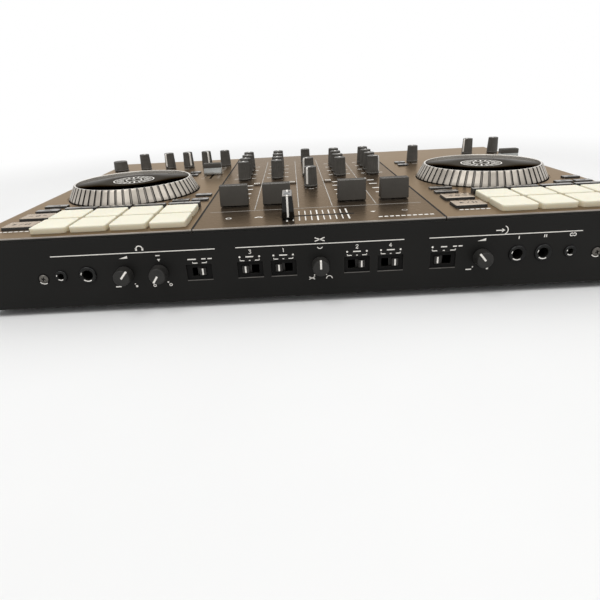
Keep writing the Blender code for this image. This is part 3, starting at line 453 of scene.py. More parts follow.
# front edge of the top plates: a rounded lip in a paler metal, a painted highlight, over a black strip, open
# at the seams
edgeSet = {"runs": ((-212.95, -76.35), (-75.65, 75.65), (76.35, 212.95)), "lip": 0.75, "foot": -2}
lip, foot = pick(edgeSet, "lip", "foot")
lipOutline = [(-0.1, -lip), (-0.1, -0.28), (-0.02, -0.06), (0.22, 0.05), (0.62, 0.05), (0.62, -lip)]
stripOutline = [(-0.09, foot), (-0.09, -lip), (0.4, -lip), (0.4, foot)]
along = onTop(0, 0) @ spin(90) @ spin(90, "X")
frontEdge = []
for x0, x1 in edgeSet["runs"]:
    frontEdge += [(prismShape(lipOutline, x1, x0), 0, along), (prismShape(stripOutline, x1, x0), 1, along)]
fixPiece("frontEdge", frontEdge, [plateEdgeHighlight, casingPaint], "dark_panel", sharp=60)
print("front edge built")


# pads
padSet = {"width": 22.2, "depth": 23, "corner": (3, 1.7), "rise": 3.8, "crown": 0.22, "root": -3.6,
          "across": (47.6, 72, 96.4, 120.8), "back": (19, 44.2), "sheet": (98.4, 51.2, 3, -3.8, -2.3)}


def buildPads(deck):
    rise, wide, deep = pick(padSet, "rise", "width", "depth")
    lower, upper = padSet["corner"]
    root = boxShape(wide, deep, lower, padSet["root"], 0.1, 6)
    levels = [(0, 0.02), (rise - 0.62, 0.06), (rise - 0.4, 0.14), (rise - 0.26, 0.34), (rise - 0.22, 0.75)]
    levels += [(rise - padSet["crown"] * (1 - inset / 11) ** 2, inset) for inset in (2, 4, 7, 10)]
    pad = stackShape(wide, deep, upper, levels, 6)
    pile = []
    left = casing["deckLeft"][deck]
    for u in padSet["across"]:
        for back in padSet["back"]:
            pile += [(shape, 0, onTop(left + u, back)) for shape in (root, pad)]
    middle = onTop(left + sum(padSet["across"]) / 4, sum(padSet["back"]) / 2)
    pile.append((boxShape(*padSet["sheet"], 4), 0, middle))
    mat = makePiece(deck + "Pads", pile, [padSilicone], sharp=50)
    dress(mat, "casing", "pale_silicone", deck + "_pad_mat")


for deck in decks:
    buildPads(deck)
print("pads built")


# play and cue buttons
buttonSet = {"width": 20.5, "depth": 14, "rise": 1.8, "corner": 1.2, "across": 22.25,
             "back": {"play": 27.2, "cue": 49.5}, "flange": (22.5, 16, 1.4, -3.6, -2.4)}


def buildButton(deck, kind):
    rise = buttonSet["rise"]
    cap = stackShape(buttonSet["width"], buttonSet["depth"], buttonSet["corner"],
                     [(-2, 0), (rise - 0.45, 0.05), (rise - 0.15, 0.18), (rise, 0.5), (rise - 0.08, 3)], 4)
    pile = [(shadeSides(cap, 2), 0), (boxShape(*buttonSet["flange"], 4), 2)]
    mark = rise - 0.03, rise - 0.27
    if kind == "play":  # triangle, stroke and two bars
        pile += [(prismShape([(-5.6, -1.5), (-2.8, 0), (-5.6, 1.5)], *mark), 1),
                 (lineShape(-1.1, -1.7, 0.7, 1.7, 0.45, *mark), 1)]
        pile += [(lineShape(x, -1.5, x, 1.5, 0.9, *mark), 1) for x in (3, 5)]
    else:  # ring between two short bars
        pile.append((ringShape(1.6, 1.05, *mark, 24), 1))
        pile += [(lineShape(x - 1.3, 0, x + 1.3, 0, 0.7, *mark), 1) for x in (-4.6, 4.6)]
    place = onTop(casing["deckLeft"][deck] + buttonSet["across"], buttonSet["back"][kind])
    swapNode("%s_%s_button" % (deck, kind), pile, [glossKey, blackPrint, flatKey], "gloss_button", place)


for deck in decks:
    for kind in buttonSet["back"]:
        buildButton(deck, kind)
print("play and cue built")


# flat keys: moulded caps over the panels' keys
keySet = {
    "rise": 1.35, "modeRise": 3.7, "spare": 0.25, "corner": 0.7, "mode": (22.2, 4.5), "thin": (16.5, 5.5),
    "small": (12.5, 5.5), "side": (10, 6), "cue": (7, 5), "modeBack": 61.45, "thinAcross": 20.25,
    "thinBack": (68.25, 82.75), "smallSpots": ((113.45, 83.25), (127.95, 83.25), (127.95, 100.25)),
    "sideX": {"left": -112, "right": 94}, "sideBack": (200, 216), "cueX": (-45.1, -15.3, 15.3, 45.1),
    "cueBack": 134}


def keySpots(deck):
    left = casing["deckLeft"][deck]
    spots = [("mode", left + u, keySet["modeBack"]) for u in padSet["across"]]
    spots += [("thin", left + keySet["thinAcross"], back) for back in keySet["thinBack"]]
    spots += [("small", left + u, back) for u, back in keySet["smallSpots"]]
    return spots + [("side", keySet["sideX"][deck], back) for back in keySet["sideBack"]]


def buildKeys(name, spots, *finishes):
    pile = []
    for kind, x, back in spots:
        rise = keySet["modeRise" if kind == "mode" else "rise"]
        mark = rise + 0.03, rise - 0.3
        width, depth = (size + keySet["spare"] for size in keySet[kind])
        levels = [(-0.1, 0), (rise - 0.35, 0.04), (rise - 0.1, 0.16), (rise, 0.42), (rise - 0.05, 1.2)]
        place = onTop(x, back)
        pile.append((shadeSides(stackShape(width, depth, keySet["corner"], levels, 4), 2), 0, place))
        if kind == "cue":
            outline = [(-1.9, -1.9), (1.9, -1.9), (1.9, 1.9), (-1.9, 1.9)]
            ends = zip(outline, outline[1:] + outline[:1])
            marks = [lineShape(*start, *end, 0.8, *mark) for start, end in ends] + [dotShape(0.55, *mark)]
        else:
            marks = [dotShape(0.4, *mark) if kind == "mode" else dashShape(width * 0.16, 0.45, *mark)]
        pile += [(shape, 1, place) for shape in marks]
    fixPiece(name, pile, finishes, "dark_panel")


for deck in decks:
    buildKeys(deck + "Keys", keySpots(deck), keyTop, blackPrint, flatKey)
cueSpots = [("cue", x, keySet["cueBack"]) for x in keySet["cueX"]]
buildKeys("mixerKeys", cueSpots, mixerMetal, whitePrint, mixerMetal)
print("flat keys built")


# jog wheels
jogSet = {
    "base": 51.8, "top": 46.4, "disc": 44.9, "rise": 11, "ribs": 56, "groove": 1.9, "deep": 1, "skirt": -1.5,
    "spindle": (5, 0.6, -12.8, -1.2), "plate": 9, "rings": ((15.9, 0.9), (6.2, 1)), "hub": 1.3,
    "tick": (9.8, 14.4, 1.3), "ticks": 20}
wellSet = {"outer": 52.55, "inner": 52.15, "low": -3, "high": -0.12}


def ribWall():
    base, top, disc, rise, deep = pick(jogSet, "base", "top", "disc", "rise", "deep")
    pitch = 2 * math.pi / jogSet["ribs"]
    half = jogSet["groove"] / 2
    columns = [(-half - 0.2, 0), (-half, 0.12), (-half + 0.42, 1), (half - 0.42, 1), (half, 0.12),
               (half + 0.2, 0), (None, 0)]

    def slope(z):
        return base - (base - top) * max(0, z - 0.9) / (rise - 0.9)

    levels = [(jogSet["skirt"], base - 1.4, 0), (0.2, base - 1.1, 0), (0.25, base - 0.15, 1), (0.5, base, 1),
              (0.9, base - 0.05, 1)]
    levels += [(z, slope(z), 1) for z in (3, 5.4, 7.8, 9.6)]
    levels += [(10.5, slope(10.5), 0.75), (10.8, top - 0.05, 0.5), (10.95, top - 0.25, 0.2),
               (rise, top - 0.4, 0), (rise, disc + 0.3, 0), (rise - 0.15, disc + 0.05, 0),
               (rise - 0.8, disc, 0)]
    bm = bmesh.new()
    rings = []
    for z, radius, cutDepth in levels:
        ring = []
        for i in range(jogSet["ribs"]):
            for across, share in columns:
                angle = i * pitch + (pitch / 2 if across is None else across / base)
                r = radius - deep * share * cutDepth
                ring.append(bm.verts.new((r * math.cos(angle), r * math.sin(angle), z)))
        rings.append(ring)
    for face in skinRings(bm, rings).faces:  # painted shade on the skirt and groove walls, a painted highlight on the paler rim, partly painted shade on the grey groove floors
        if len(face.verts) != 4:
            continue
        middle = face.calc_center_median()
        across = abs(((math.atan2(middle.y, middle.x) / pitch + 0.5) % 1 - 0.5) * pitch * base)
        if middle.z < 0.24:
            face.material_index = 1
        elif middle.z > 10.9 or middle.to_2d().length < disc + 0.1:
            face.material_index = 2
        elif across < half - 0.45:
            face.material_index = 5
        elif across < half + 0.02:
            face.material_index = 1
    return bm


def buildJog(deck):
    disc, low, face = jogSet["disc"], jogSet["plate"], jogSet["rise"] - 0.7
    mark = face + 0.03, face - 0.1
    plate = [(0, low), (disc + 0.2, low), (disc + 0.2, face - 0.12), (disc - 0.15, face), (22, face),
             (0, face)]
    pile = [(ribWall(), 0), (latheShape(plate, 180), 3)]
    for middle, wide in jogSet["rings"]:
        pile.append((ringShape(middle + wide / 2, middle - wide / 2, *mark, 72), 4))
    pile.append((dotShape(jogSet["hub"], *mark, 24), 4))
    near, far, wide = jogSet["tick"]
    for i in range(jogSet["ticks"]):  # every other tick is longer
        tick = lineShape(near if i % 2 else near - 1.6, 0, far, 0, wide, *mark)
        pile.append((tick, 4, spin(360 * i / jogSet["ticks"])))
    pile.append((pinShape(*jogSet["spindle"], 32), 1))
    node = deck + "_jog_wheel"
    place = shift(*pivots[node])
    finishes = [jogRib, jogGroove, jogRim, jogDisc, whitePrint, jogFloor]
    swapNode(node, pile, finishes, "jog_plastic", place, sharp=28)
    # a near-black liner in the gap round the wheel, painted shade
    outer, inner, low, high = pick(wellSet, "outer", "inner", "low", "high")
    wall = [(outer, low), (outer, high), (inner, high - 0.1), (inner, low)]
    fixPiece(deck + "WellLiner", [(latheShape(wall, 96), 0)], [darkGap], "dark_panel", place=place)


for deck in decks:
    buildJog(deck)
print("jog wheels built")


# fader caps; under the channel and crossfader caps the skirt and stem are near black, painted shade
faderSet = {"width": 19.6, "depth": 9.5, "lift": 0.6, "high": 14.6, "line": (8.2, 0.9),
            "stem": (1.2, 4, 0.2, -10.6, 1.1)}
crossSet = {"width": 8, "depth": 19.6, "lift": 0.6, "high": 15, "line": 1.15,
            "stem": (4, 1.2, 0.2, -10.6, 1.1)}
tempoSet = {**faderSet, "width": 17.7, "depth": 9, "high": 11, "line": (6.6, 0.8)}


def swapCap(node, pile, look, stemFinish, *finishes):
    pile.append((boxShape(*look["stem"]), stemFinish))
    x, y, z = middleOf(node)
    swapNode(node, pile, finishes, "fader_plastic", shift(x, y, casing["topZ"]))


def buildChannelCap(node):
    wide, deep, lift, tall = pick(faderSet, "width", "depth", "lift", "high")
    skirt = [(lift, 0.3), (lift + 0.4, 0.15), (lift + 0.6, 0.4)]
    block = [(lift + 0.25, 0.12), (lift + 0.45, 0), (tall - 0.55, 0.15, 1.15), (tall - 0.2, 0.22, 1.25),
             (tall - 0.05, 0.36, 1.42), (tall, 0.6, 1.7), (tall - 0.25, 0.9, 2.4), (tall - 0.55, 1.2, 3.1),
             (tall - 0.65, 1.4, 4)]
    pile = [(stackShape(wide, deep, 0.5, skirt, 3), 1), (stackShape(wide, deep, 0.5, block, 4), 0),
            (dashShape(*faderSet["line"], tall - 0.6, tall - 0.85), 2)]
    swapCap(node, pile, faderSet, 1, faderPlastic, darkGap, whitePrint)


def buildCrossCap(node):
    wide, deep, lift, tall = pick(crossSet, "width", "depth", "lift", "high")
    half = deep / 2
    skirt = [(lift, 0.5), (lift + 0.9, 0.35), (lift + 1.1, 0.6)]
    block = [(lift + 0.7, 0.1), (lift + 0.9, 0), (tall - 0.8, 0.9, 0.3), (tall - 0.35, 1.05, 0.42),
             (tall - 0.25, 1.2, 0.6)]
    dish = [(tall - 0.6, 1.2, 0.6), (tall - 0.2, 1.12, 0.55), (tall - 0.04, 1.3, 0.75), (tall, 1.6, 1.2),
            (tall - 0.3, 2, 4.5), (tall - 0.4, 2.3, 7)]
    # the dish on top takes the paler finish, a painted highlight where the top catches light
    pile = [(stackShape(wide, deep, 0.6, skirt, 3), 1), (stackShape(wide, deep, 0.6, block, 4), 0),
            (stackShape(wide, deep, 0.6, dish, 4), 3)]
    path = [(0, tall - 0.38), (half - 6.8, tall - 0.38), (half - 4.5, tall - 0.28), (half - 1.2, tall + 0.01),
            (half - 0.72, tall - 0.05), (half - 0.5, tall - 0.3), (half - 0.3, tall - 0.9),
            (half - 0.02, lift + 1.3)]
    pile += [(ribbonShape(path, crossSet["line"], 0.05), 2, spin(turn)) for turn in (0, 180)]
    swapCap(node, pile, crossSet, 1, crossPlastic, darkGap, whitePrint, crossLitTop)


def buildTempoCap(node):
    wide, deep, lift, tall = pick(tempoSet, "width", "depth", "lift", "high")
    foot = [(lift, 0.3), (lift + 0.3, 0), (lift + 1.4, 0), (lift + 2.6, 0.15, 0.2), (lift + 4.2, 0.3, 0.7),
            (lift + 6.1, 0.45, 1), (lift + 6.4, 0.6, 1.3)]
    block = [(lift + 6.1, 0.5, 1.2), (lift + 6.4, 0.25, 0.8), (tall - 0.7, 0.45, 0.95),
             (tall - 0.2, 0.65, 1.2), (tall, 1.1, 1.8), (tall - 0.35, 1.6, 2.6), (tall - 0.55, 1.9, 3.6)]
    pile = [(stackShape(wide, deep, 0.9, foot, 4), 1), (stackShape(wide, deep, 0.9, block, 4), 0),
            (dashShape(*tempoSet["line"], tall - 0.5, tall - 0.8), 2)]
    swapCap(node, pile, tempoSet, 0, faderPlastic, tempoSilver, whitePrint)


for number in (3, 1, 2, 4):
    buildChannelCap("channel_%d_fader_cap" % number)
buildCrossCap("crossfader_cap")
for deck in decks:
    buildTempoCap(deck + "_tempo_cap")
print("fader caps built")


# knobs on top and on the front; pointers turn clockwise from the rear, or from straight up
knobSet = {"radius": 5.7, "tip": 5, "high": 16, "flutes": 18, "deep": 0.32, "skirt": 1.7, "pointer": 1.6,
           "shaft": (3, 0.3, -6.8, 0.5)}
browseSet = {**knobSet, "radius": 5.2, "tip": 4.8, "high": 13.5, "flutes": 24, "deep": 0.22, "skirt": 1.4,
             "pointer": 0}
dialSet = {**browseSet, "radius": 7.6, "tip": 7, "high": 10, "flutes": 30, "deep": 0.26}
frontKnobSet = {"radius": 5.4, "tip": 5.05, "gap": 0.4, "high": 7.85, "flutes": 40, "deep": 0.12,
                "pointer": 1.15, "shaft": (3, 0.2, -7.6, 0.6)}
pointerTurns = {
    "master_level_knob": -147, "booth_level_knob": -130, "channel_4_low_knob": 117, "channel_2_mid_knob": 60,
    "left_effect_knob_2": -150, "left_effect_knob_3": 145, "left_effect_knob_4": 150,
    "right_effect_knob_2": -118, "headphone_level_knob": 40, "headphone_mix_knob": -145,
    "crossfader_curve_knob": 0, "aux_level_knob": -40}


def fluteRule(look, low, high, power):
    def wave(angle, z):
        if z < low or z > high:
            return 0
        return look["deep"] * (0.5 - 0.5 * math.cos(look["flutes"] * angle)) ** power

    return wave


def swapKnob(node, pile, look, plastic, face):
    pile.append((pinShape(*look["shaft"], 24), 2))
    place = shift(*pivots[node]) @ face @ spin(-pointerTurns.get(node, 0))
    swapNode(node, pile, [plastic, whitePrint, screwSteel], "knob_plastic", place, sharp=40)


def buildKnob(node, look):
    wide, tip, tall, skirt = pick(look, "radius", "tip", "high", "skirt")

    def radiusAt(z):
        return wide - 0.15 - (wide - tip) * (z - skirt) / (tall - skirt)

    waist = radiusAt(skirt)
    profile = [(0, 0.35), (wide - 0.4, 0.35), (wide - 0.05, 0.6), (wide, 0.9), (wide - 0.02, skirt - 0.25),
               (wide - 0.3, skirt), (waist - 0.35, skirt + 0.2), (waist - 0.3, skirt + 0.45)]
    heights = [skirt + 0.6 + (tall - 1.15 - skirt) * share for share in (0, 0.02, 0.25, 0.5, 0.75, 0.97)]
    profile += [(radiusAt(z), z) for z in heights]
    profile += [(tip - 0.12, tall - 0.42), (tip - 0.3, tall - 0.14), (tip - 0.6, tall),
                (tip - 1, tall - 0.03), (tip - 1.25, tall - 0.16), (tip - 1.6, tall - 0.22), (0, tall - 0.22)]
    flutes = fluteRule(look, skirt + 0.5, tall - 0.45, 1.6)
    pile = [(latheShape(profile, look["flutes"] * 6, flutes), 0)]
    if look["pointer"]:
        path = [(0.6, tall - 0.68), (tip - 1.2, tall - 0.68), (tip - 0.45, tall - 0.75),
                (tip - 0.12, tall - 1.1), (tip - 0.02, tall - 1.7), (tip + 0.1, tall - 3.5),
                (wide - 0.46, skirt + 0.9)]
        pile.append((ribbonShape(path, look["pointer"], 0.6, 0.6), 1))
    swapKnob(node, pile, look, knobPlastic, Matrix())


def buildFrontKnob(node):
    look = frontKnobSet
    wide, tip, tall, gap = pick(look, "radius", "tip", "high", "gap")
    profile = [(0, gap), (wide - 0.5, gap), (wide, gap + 0.4), (wide, 1.2), (wide - 0.05, 1.5),
               (wide - 0.15, 3.5), (tip + 0.1, 5.5), (tip, tall - 1), (tip - 0.02, tall - 0.75),
               (tip - 0.2, tall - 0.25), (tip - 0.5, tall - 0.03), (tip - 0.9, tall),
               (tip - 1.6, tall - 0.02), (0, tall - 0.05)]
    path = [(-0.3, tall - 0.04), (tip - 1, tall - 0.01), (tip - 0.5, tall - 0.04), (tip - 0.2, tall - 0.25),
            (tip - 0.02, tall - 0.75), (tip, tall - 1.4)]
    flutes = fluteRule(look, 1.3, tall - 0.9, 1)
    pile = [(latheShape(profile, look["flutes"] * 3, flutes), 0),
            (ribbonShape(path, look["pointer"], 0.04), 1)]
    swapKnob(node, pile, look, frontKnobPlastic, spin(90, "X"))


topKnobs = ["channel_%d_%s_knob" % (c, row) for c in (1, 2, 3, 4) for row in ("low", "mid", "high", "gain")]
topKnobs += ["master_level_knob", "booth_level_knob"]
topKnobs += ["left_effect_knob_%d" % i for i in (1, 2, 3, 4, 5)]
topKnobs += ["right_effect_knob_%d" % i for i in (1, 2, 3)]
for node in topKnobs:
    buildKnob(node, knobSet)
buildKnob("browse_knob", browseSet)
buildKnob("left_effect_dial", dialSet)
for node in ("headphone_level_knob", "headphone_mix_knob", "crossfader_curve_knob", "aux_level_knob"):
    buildFrontKnob(node)
print("knobs built:", len(topKnobs) + 6)


# slide switches; each recess has a near-black liner, painted shade, and a grey lip along its lower edge, a
# painted highlight
switchSet = {
    "width": 4.2, "height": 4.9, "out": 0.3, "drop": 27, "travel": 6, "splitTravel": 4, "spare": 0.9,
    "plate": (7.2, 7.9, 0.2, -4.9, -3.4), "recess": (16, 10.4), "ridge": (0.5, 3.6, 1.35),
    "line": (2.05, 0.95)}
switchMiddles = {
    "headphone_split_switch": -74.8, "channel_3_assign_switch": -43.3, "channel_1_assign_switch": -22.6,
    "channel_2_assign_switch": 22.6, "channel_4_assign_switch": 43.3, "aux_input_switch": 75.7}


def buildSwitch(node):
    front = -switchSet["out"]
    levels = [(-4, 0), (front - 0.35, 0.03), (front - 0.1, 0.15), (front, 0.45), (front - 0.1, 0.9)]
    body = stackShape(switchSet["width"], switchSet["height"], 0.35, levels, 3)
    wide, tall, away = switchSet["ridge"]
    ridge = stackShape(wide, tall, 0.2, [(front - 0.3, 0), (front - 0.05, 0), (front, 0.1)], 2)
    pile = [(body, 0)] + [(ridge, 0, shift(side * away, 0, 0)) for side in sides]
    half, line = switchSet["line"]
    pile.append((lineShape(0, -half, 0, half, line, front + 0.02, front - 0.4), 1))
    pile.append((boxShape(*switchSet["plate"]), 0))
    x, y, z = middleOf(node)
    swapNode(node, pile, [flatKey, whitePrint], "knob_plastic", shift(x, casing["frontY"], z) @ spin(90, "X"))


lips = []
wide, tall = switchSet["recess"]
for node, middle in switchMiddles.items():
    buildSwitch(node)
    travel, spare = pick(switchSet, "splitTravel" if "split" in node else "travel", "spare")
    hole = boxShape(switchSet["width"] + travel + spare, switchSet["height"] + spare, 0.2, -3, 3)
    liner = carve(stackShape(wide - 0.1, tall - 0.1, 0.2, [(-1.05, 0), (-0.85, 0.02)], 2), [hole])
    lip = lineShape(-wide / 2, -tall / 2 - 0.08, wide / 2, -tall / 2 - 0.08, 0.28, ink, -0.8)
    spot = onFront(middle, switchSet["drop"])
    lips += [(liner, 1, spot), (lip, 0, spot)]
fixPiece("switchLips", lips, [lipHighlight, darkGap], "black_casing")
print("switches built")


# printed lines, ticks and plain signs on the top; slot is back, half length and width, scale is
# step, back, near and far end, and rows of ticks and dashes are first place, step and back
topPrint = {
    "thin": 0.6, "divider": (11.4, 41.2), "dividerBack": (44, 268), "cross": (41, 71),
    "seam": (0.8, 306.8, 1.4), "slot": (20.5, 23.4, 2.4), "scale": (3.83, 20.9, 2.2, 3.4),
    "fader": (26.3, 56.1), "faderBack": (64, 82, 98, 115.8, 131.7), "faderTicks": (59, 4.5),
    "column": (28.3, 58.1), "rows": (163, 185.5, 208, 230.5), "centre": (117, 170),
    "rear": (-173, -146.5, -126.5, -106.5, -86.5, 176, 203.5), "rearBack": 257.8, "lone": (107.5, 220.8),
    "edgeDashes": (38.2, 3.5, 8.8), "playDashes": (-8.15, 3.36, 15.6), "keyDashes": (63.4, 77.9),
    "tempo": {"left": -92, "right": 197}, "tempoTicks": (179.8, 5)}


def buildTopPrint():
    pile = []

    def put(shape, finish, x=0, back=0):
        pile.append((shape, finish, onTop(x, back)))

    def dash(x, back, half, width, finish=0):
        put(dashShape(half, width), finish, x, back)

    def knobScale(x, back, finish, radius=8.3, count=11):
        for i in range(count):
            angle = math.radians(-150 + 300 * i / (count - 1))
            away, along = radius * math.sin(angle), radius * math.cos(angle)
            size = 0.42 if i in (0, count // 2, count - 1) else 0.28
            put(dotShape(size, corners=10), finish, x + away, back + along)

    for side in sides:  # dividers, dark seams between the plates, then faders and columns of knobs
        for x in topPrint["divider"]:
            near, far = topPrint["dividerBack"]
            put(lineShape(0, near, 0, far, topPrint["thin"]), 1, side * x)
        near, far, wide = topPrint["seam"]
        put(lineShape(0, near, 0, far, wide), 2, side * casing["seam"])
        for x in topPrint["fader"]:
            for back in topPrint["faderBack"]:
                dash(side * (x - 5.4), back, 3.2, 2.4)
            near, gap = topPrint["faderTicks"]
            for i in range(11):
                dash(side * (x + 4.6), near + gap * i, 1, 0.5, 1)
        for x in topPrint["column"]:
            for back in topPrint["rows"]:
                knobScale(side * x, back, 1)
                for mark in (x - 8, x + 8):
                    dash(side * mark, back + 5, 1.8, 1.8)
    back, half = topPrint["cross"]
    dash(0, back, half, topPrint["thin"], 1)
    # the crossfader slot, drawn near black as painted shade
    back, half, wide = topPrint["slot"]
    put(lineShape(-half, back, half, back, wide, 0.02), 2)
    gap, back, near, far = topPrint["scale"]
    for i in range(11):  # crossfader scale, in pairs
        long, wide = (9.6, 1) if i in (0, 5, 10) else (8.8, 0.7)
        for side in sides:
            put(lineShape(0, side * near, 0, side * (far + long), wide), 0, gap * (i - 5), back)
    for back in topPrint["centre"]:
        knobScale(0, back, 0)
        dash(0, back - 10.6, 2, 0.8)
    for x, back in [(x, topPrint["rearBack"]) for x in topPrint["rear"]] + [topPrint["lone"]]:
        knobScale(x, back, 1)
        dash(x, back - 11.5, 2.4, 0.8)
    # plain signs left and right of the crossfader, and a row of dashes by the front edge
    put(ringShape(1.9, 1.3), 0, -56.6, 22.6)
    put(arcShape(2.2, 1.4, 15, 165), 0, -37.3, 20.4)
    put(prismShape([(-1.9, 1.3), (0, -1.5), (1.9, 1.3)]), 0, 35.8, 22.3)
    put(ringShape(1.9, 1.3), 1, 56, 22.6)
    first, gap, back = topPrint["edgeDashes"]
    for i in range(10):
        dash(first + gap * i, back, 1.2, 1.9)
    for deck in decks:
        left = casing["deckLeft"][deck]
        first, gap, back = topPrint["playDashes"]
        for i in range(6):
            dash(left + buttonSet["across"] + first + gap * i, back, 1.25, 1.6)
        for back in topPrint["keyDashes"]:
            dash(left + keySet["thinAcross"], back, 3.25, 0.6, 1)
        near, gap = topPrint["tempoTicks"]
        for i in range(13):
            half = 1.3 if i in (0, 6, 12) else 0.8
            for side in sides:
                dash(topPrint["tempo"][deck] + side * (6 + half), near + gap * i, half, 0.45)
    fixPiece("topPrint", pile, [whitePrint, greyPrint, darkGap], "dark_panel")


# printed lines and plain signs on the front; each row starts with x and the drop from the top
frontPrint = {
    "digitDrop": 15.5, "digitWide": 0.42, "digits": ((-42.8, 3), (-22.3, 1), (22.6, 2), (43, 4)),
    # half length and width: section lines, then marks over switches and under knobs
    "dashes": [
        (-113.7, 12.5, 49.9, 0.52), (0, 12.5, 51.3, 0.52), (113.2, 12.5, 46.6, 0.52), (108.8, 9.8, 2, 0.6),
        (-98.9, 15, 1.3, 0.6), (-126.15, 34, 1.75, 0.7), (92.25, 34, 1.75, 0.7), (-78.6, 18.5, 2.6, 0.7),
        (-71.4, 18.5, 1.3, 0.7), (-67.6, 18.5, 1.3, 0.7), (75.9, 20.8, 0.6, 0.5), (75.9, 18.4, 1.9, 0.7),
        (82.6, 18.4, 1.2, 0.7), (86, 18.4, 1.2, 0.7)],
    # low end, high end and width: headphone cups, one stroke for left and two for right
    "uprights": [
        (-111.1, 10.2, -1.1, 0.6, 1.1), (-107.3, 10.2, -1.1, 0.6, 1.1), (121.4, 14.9, -0.9, 0.9, 0.6),
        (136.9, 14.6, -0.9, 0.9, 0.6), (138.1, 14.6, -0.9, 0.9, 0.6)],
    # half length, low end, high end and width of two strokes that cross
    "risers": [(0, 9.9, 3, -1, 1.2, 0.55), (-5.4, 34.7, 1.8, -0.7, 0.9, 0.5)],
    # radius, width, start and end
    "arcs": [
        (-109.2, 10.3, 1.9, 0.6, 0, 180), (111.4, 9.8, 2.6, 0.55, -70, 70), (0, 14, 1.6, 0.5, 200, 340),
        (5.4, 35.4, 1.8, 0.5, 0, 180)],
    "triangles": [
        (110.2, 9.8, (0.2, -1.2), (2, 0), (0.2, 1.2)), (-120, 15.2, (-2.6, -0.7), (2.6, -0.7), (2.6, 0.9)),
        (98.7, 15.2, (-2.6, -0.7), (2.6, -0.7), (2.6, 0.9)), (-98.6, 17.9, (-1, 0.7), (0, -0.9), (1, 0.7))],
    "dots": [
        (-115.6, 32.7, 0.4), (-114.8, 34.2, 0.75), (-125, 32.4, 0.4), (-102.2, 32.2, 0.55), (-95, 32.5, 0.55),
        (-3.8, 32.7, 0.4), (3.6, 32.7, 0.4), (94.7, 32.5, 0.4), (103.9, 33.9, 0.75), (68.9, 18.4, 0.65)],
    "rings": [
        (-103.6, 34.3, 1, 0.55), (-93.6, 34.3, 1, 0.55), (153.4, 14.6, 1.15, 0.65),
        (155.2, 14.6, 1.15, 0.65)],
    # near and far end of the bent lines over the switches
    "brackets": [(-74, 21, 1.3, 4.4), (75.9, 20.8, 4, 7.2)]}
for middle in (x for node, x in switchMiddles.items() if "assign" in node):
    frontPrint["brackets"].append((middle, 21, 3.2, 6))
    frontPrint["dashes"] += [(middle, 21, 0.5, 0.5), (middle, 18.6, 2.4, 0.7)]
    frontPrint["dots"] += [(middle + side * 6, 18.6, 0.6) for side in sides]
frontPrint["fallers"] = frontPrint["risers"]
digitStrokes = {
    1: [(0, -1.2, 0, 1.2), (-0.5, 0.8, 0.05, 1.2)],
    2: [(-0.75, 0.75, -0.3, 1.2), (-0.35, 1.15, 0.45, 1.15), (0.45, 1.15, 0.75, 0.6),
        (0.75, 0.65, -0.75, -1.1), (-0.8, -1.1, 0.8, -1.1)],
    3: [(-0.7, 1.15, 0.75, 1.15), (0.7, 1.15, 0, 0.2), (-0.05, 0.25, 0.7, -0.2), (0.7, -0.15, 0.6, -0.8),
        (0.65, -0.75, 0.1, -1.15), (0.15, -1.1, -0.75, -1)],
    4: [(0.35, -1.25, 0.35, 1.2), (0.4, 1.15, -0.8, -0.45), (-0.85, -0.45, 0.9, -0.45)]}
markShapes = {
    "dashes": dashShape,
    "uprights": lambda low, high, wide: lineShape(0, low, 0, high, wide),
    "risers": lambda half, low, high, wide: lineShape(-half, low, half, high, wide),
    "fallers": lambda half, low, high, wide: lineShape(-half, high, half, low, wide),
    "arcs": arcShape,
    "triangles": lambda *points: prismShape(points),
    "dots": dotShape,
    "rings": lambda outer, inner: ringShape(outer, inner, steps=24)}


def buildFrontPrint():
    pile = []

    def put(shape, x, drop):
        pile.append((shape, 0, onFront(x, drop)))

    for x, digit in frontPrint["digits"]:
        for stroke in digitStrokes[digit]:
            put(lineShape(*stroke, frontPrint["digitWide"]), x, frontPrint["digitDrop"])
    for kind, drawn in markShapes.items():
        for x, drop, *sizes in frontPrint[kind]:
            put(drawn(*sizes), x, drop)
    for x, drop, near, far in frontPrint["brackets"]:
        for side in sides:
            put(lineShape(side * near, 0, side * far, 0, 0.5), x, drop)
            put(lineShape(0, -0.1, 0, 0.8, 0.5), x + side * (far - 0.15), drop)
    fixPiece("frontPrint", pile, [whitePrint], "black_casing")


buildTopPrint()
buildFrontPrint()
print("printed marks made")


# sockets on the front and the rear
jackSet = {"large": (5.25, 3.3), "small": (3.6, 1.85), "proud": 0.6, "drop": 25.2,
           "frontX": {"large": (-143.5, 121.6, 137.6), "small": (-160, 154.2)},
           "mouth": ((226, 302, 0.62), (150, 174, 0.45))}
rearSet = {"z": 24, "jacks": (130, 158), "lines": (30, 48, 74, 92), "radius": 4.15, "proud": 7,
           "dataX": -95, "inletX": -170}


def addJack(pile, kind, place):
    ring, bore = jackSet[kind]
    proud = jackSet["proud"]
    collar = [(ring + 0.25, -0.1), (ring + 0.25, 0.35), (ring + 0.05, proud + 0.3),
              (ring - 0.35, proud + 0.6), (ring - 0.75, proud + 0.6), (bore + 0.15, proud + 0.12),
              (bore + 0.02, proud), (bore + 0.02, -0.1)]
    pile.append((latheShape(collar, 48), 0, place))
    for start, end, wide in jackSet["mouth"]:  # painted highlights: nickel arcs where the mouth catches light
        pile.append((arcShape(bore + 0.45, wide, start, end, proud + 0.42, proud - 0.2), 1, place))
    # lining and floor of the bore in near black, painted shade
    lining = [(bore + 0.3, -6), (bore + 0.3, proud - 0.95), (bore, proud - 0.85), (bore - 0.03, -6)]
    end = [(0, -9.5), (bore, -9.5), (bore, -9), (0, -9)]
    pile += [(latheShape(lining, 40), 2, place), (latheShape(end, 24), 2, place)]


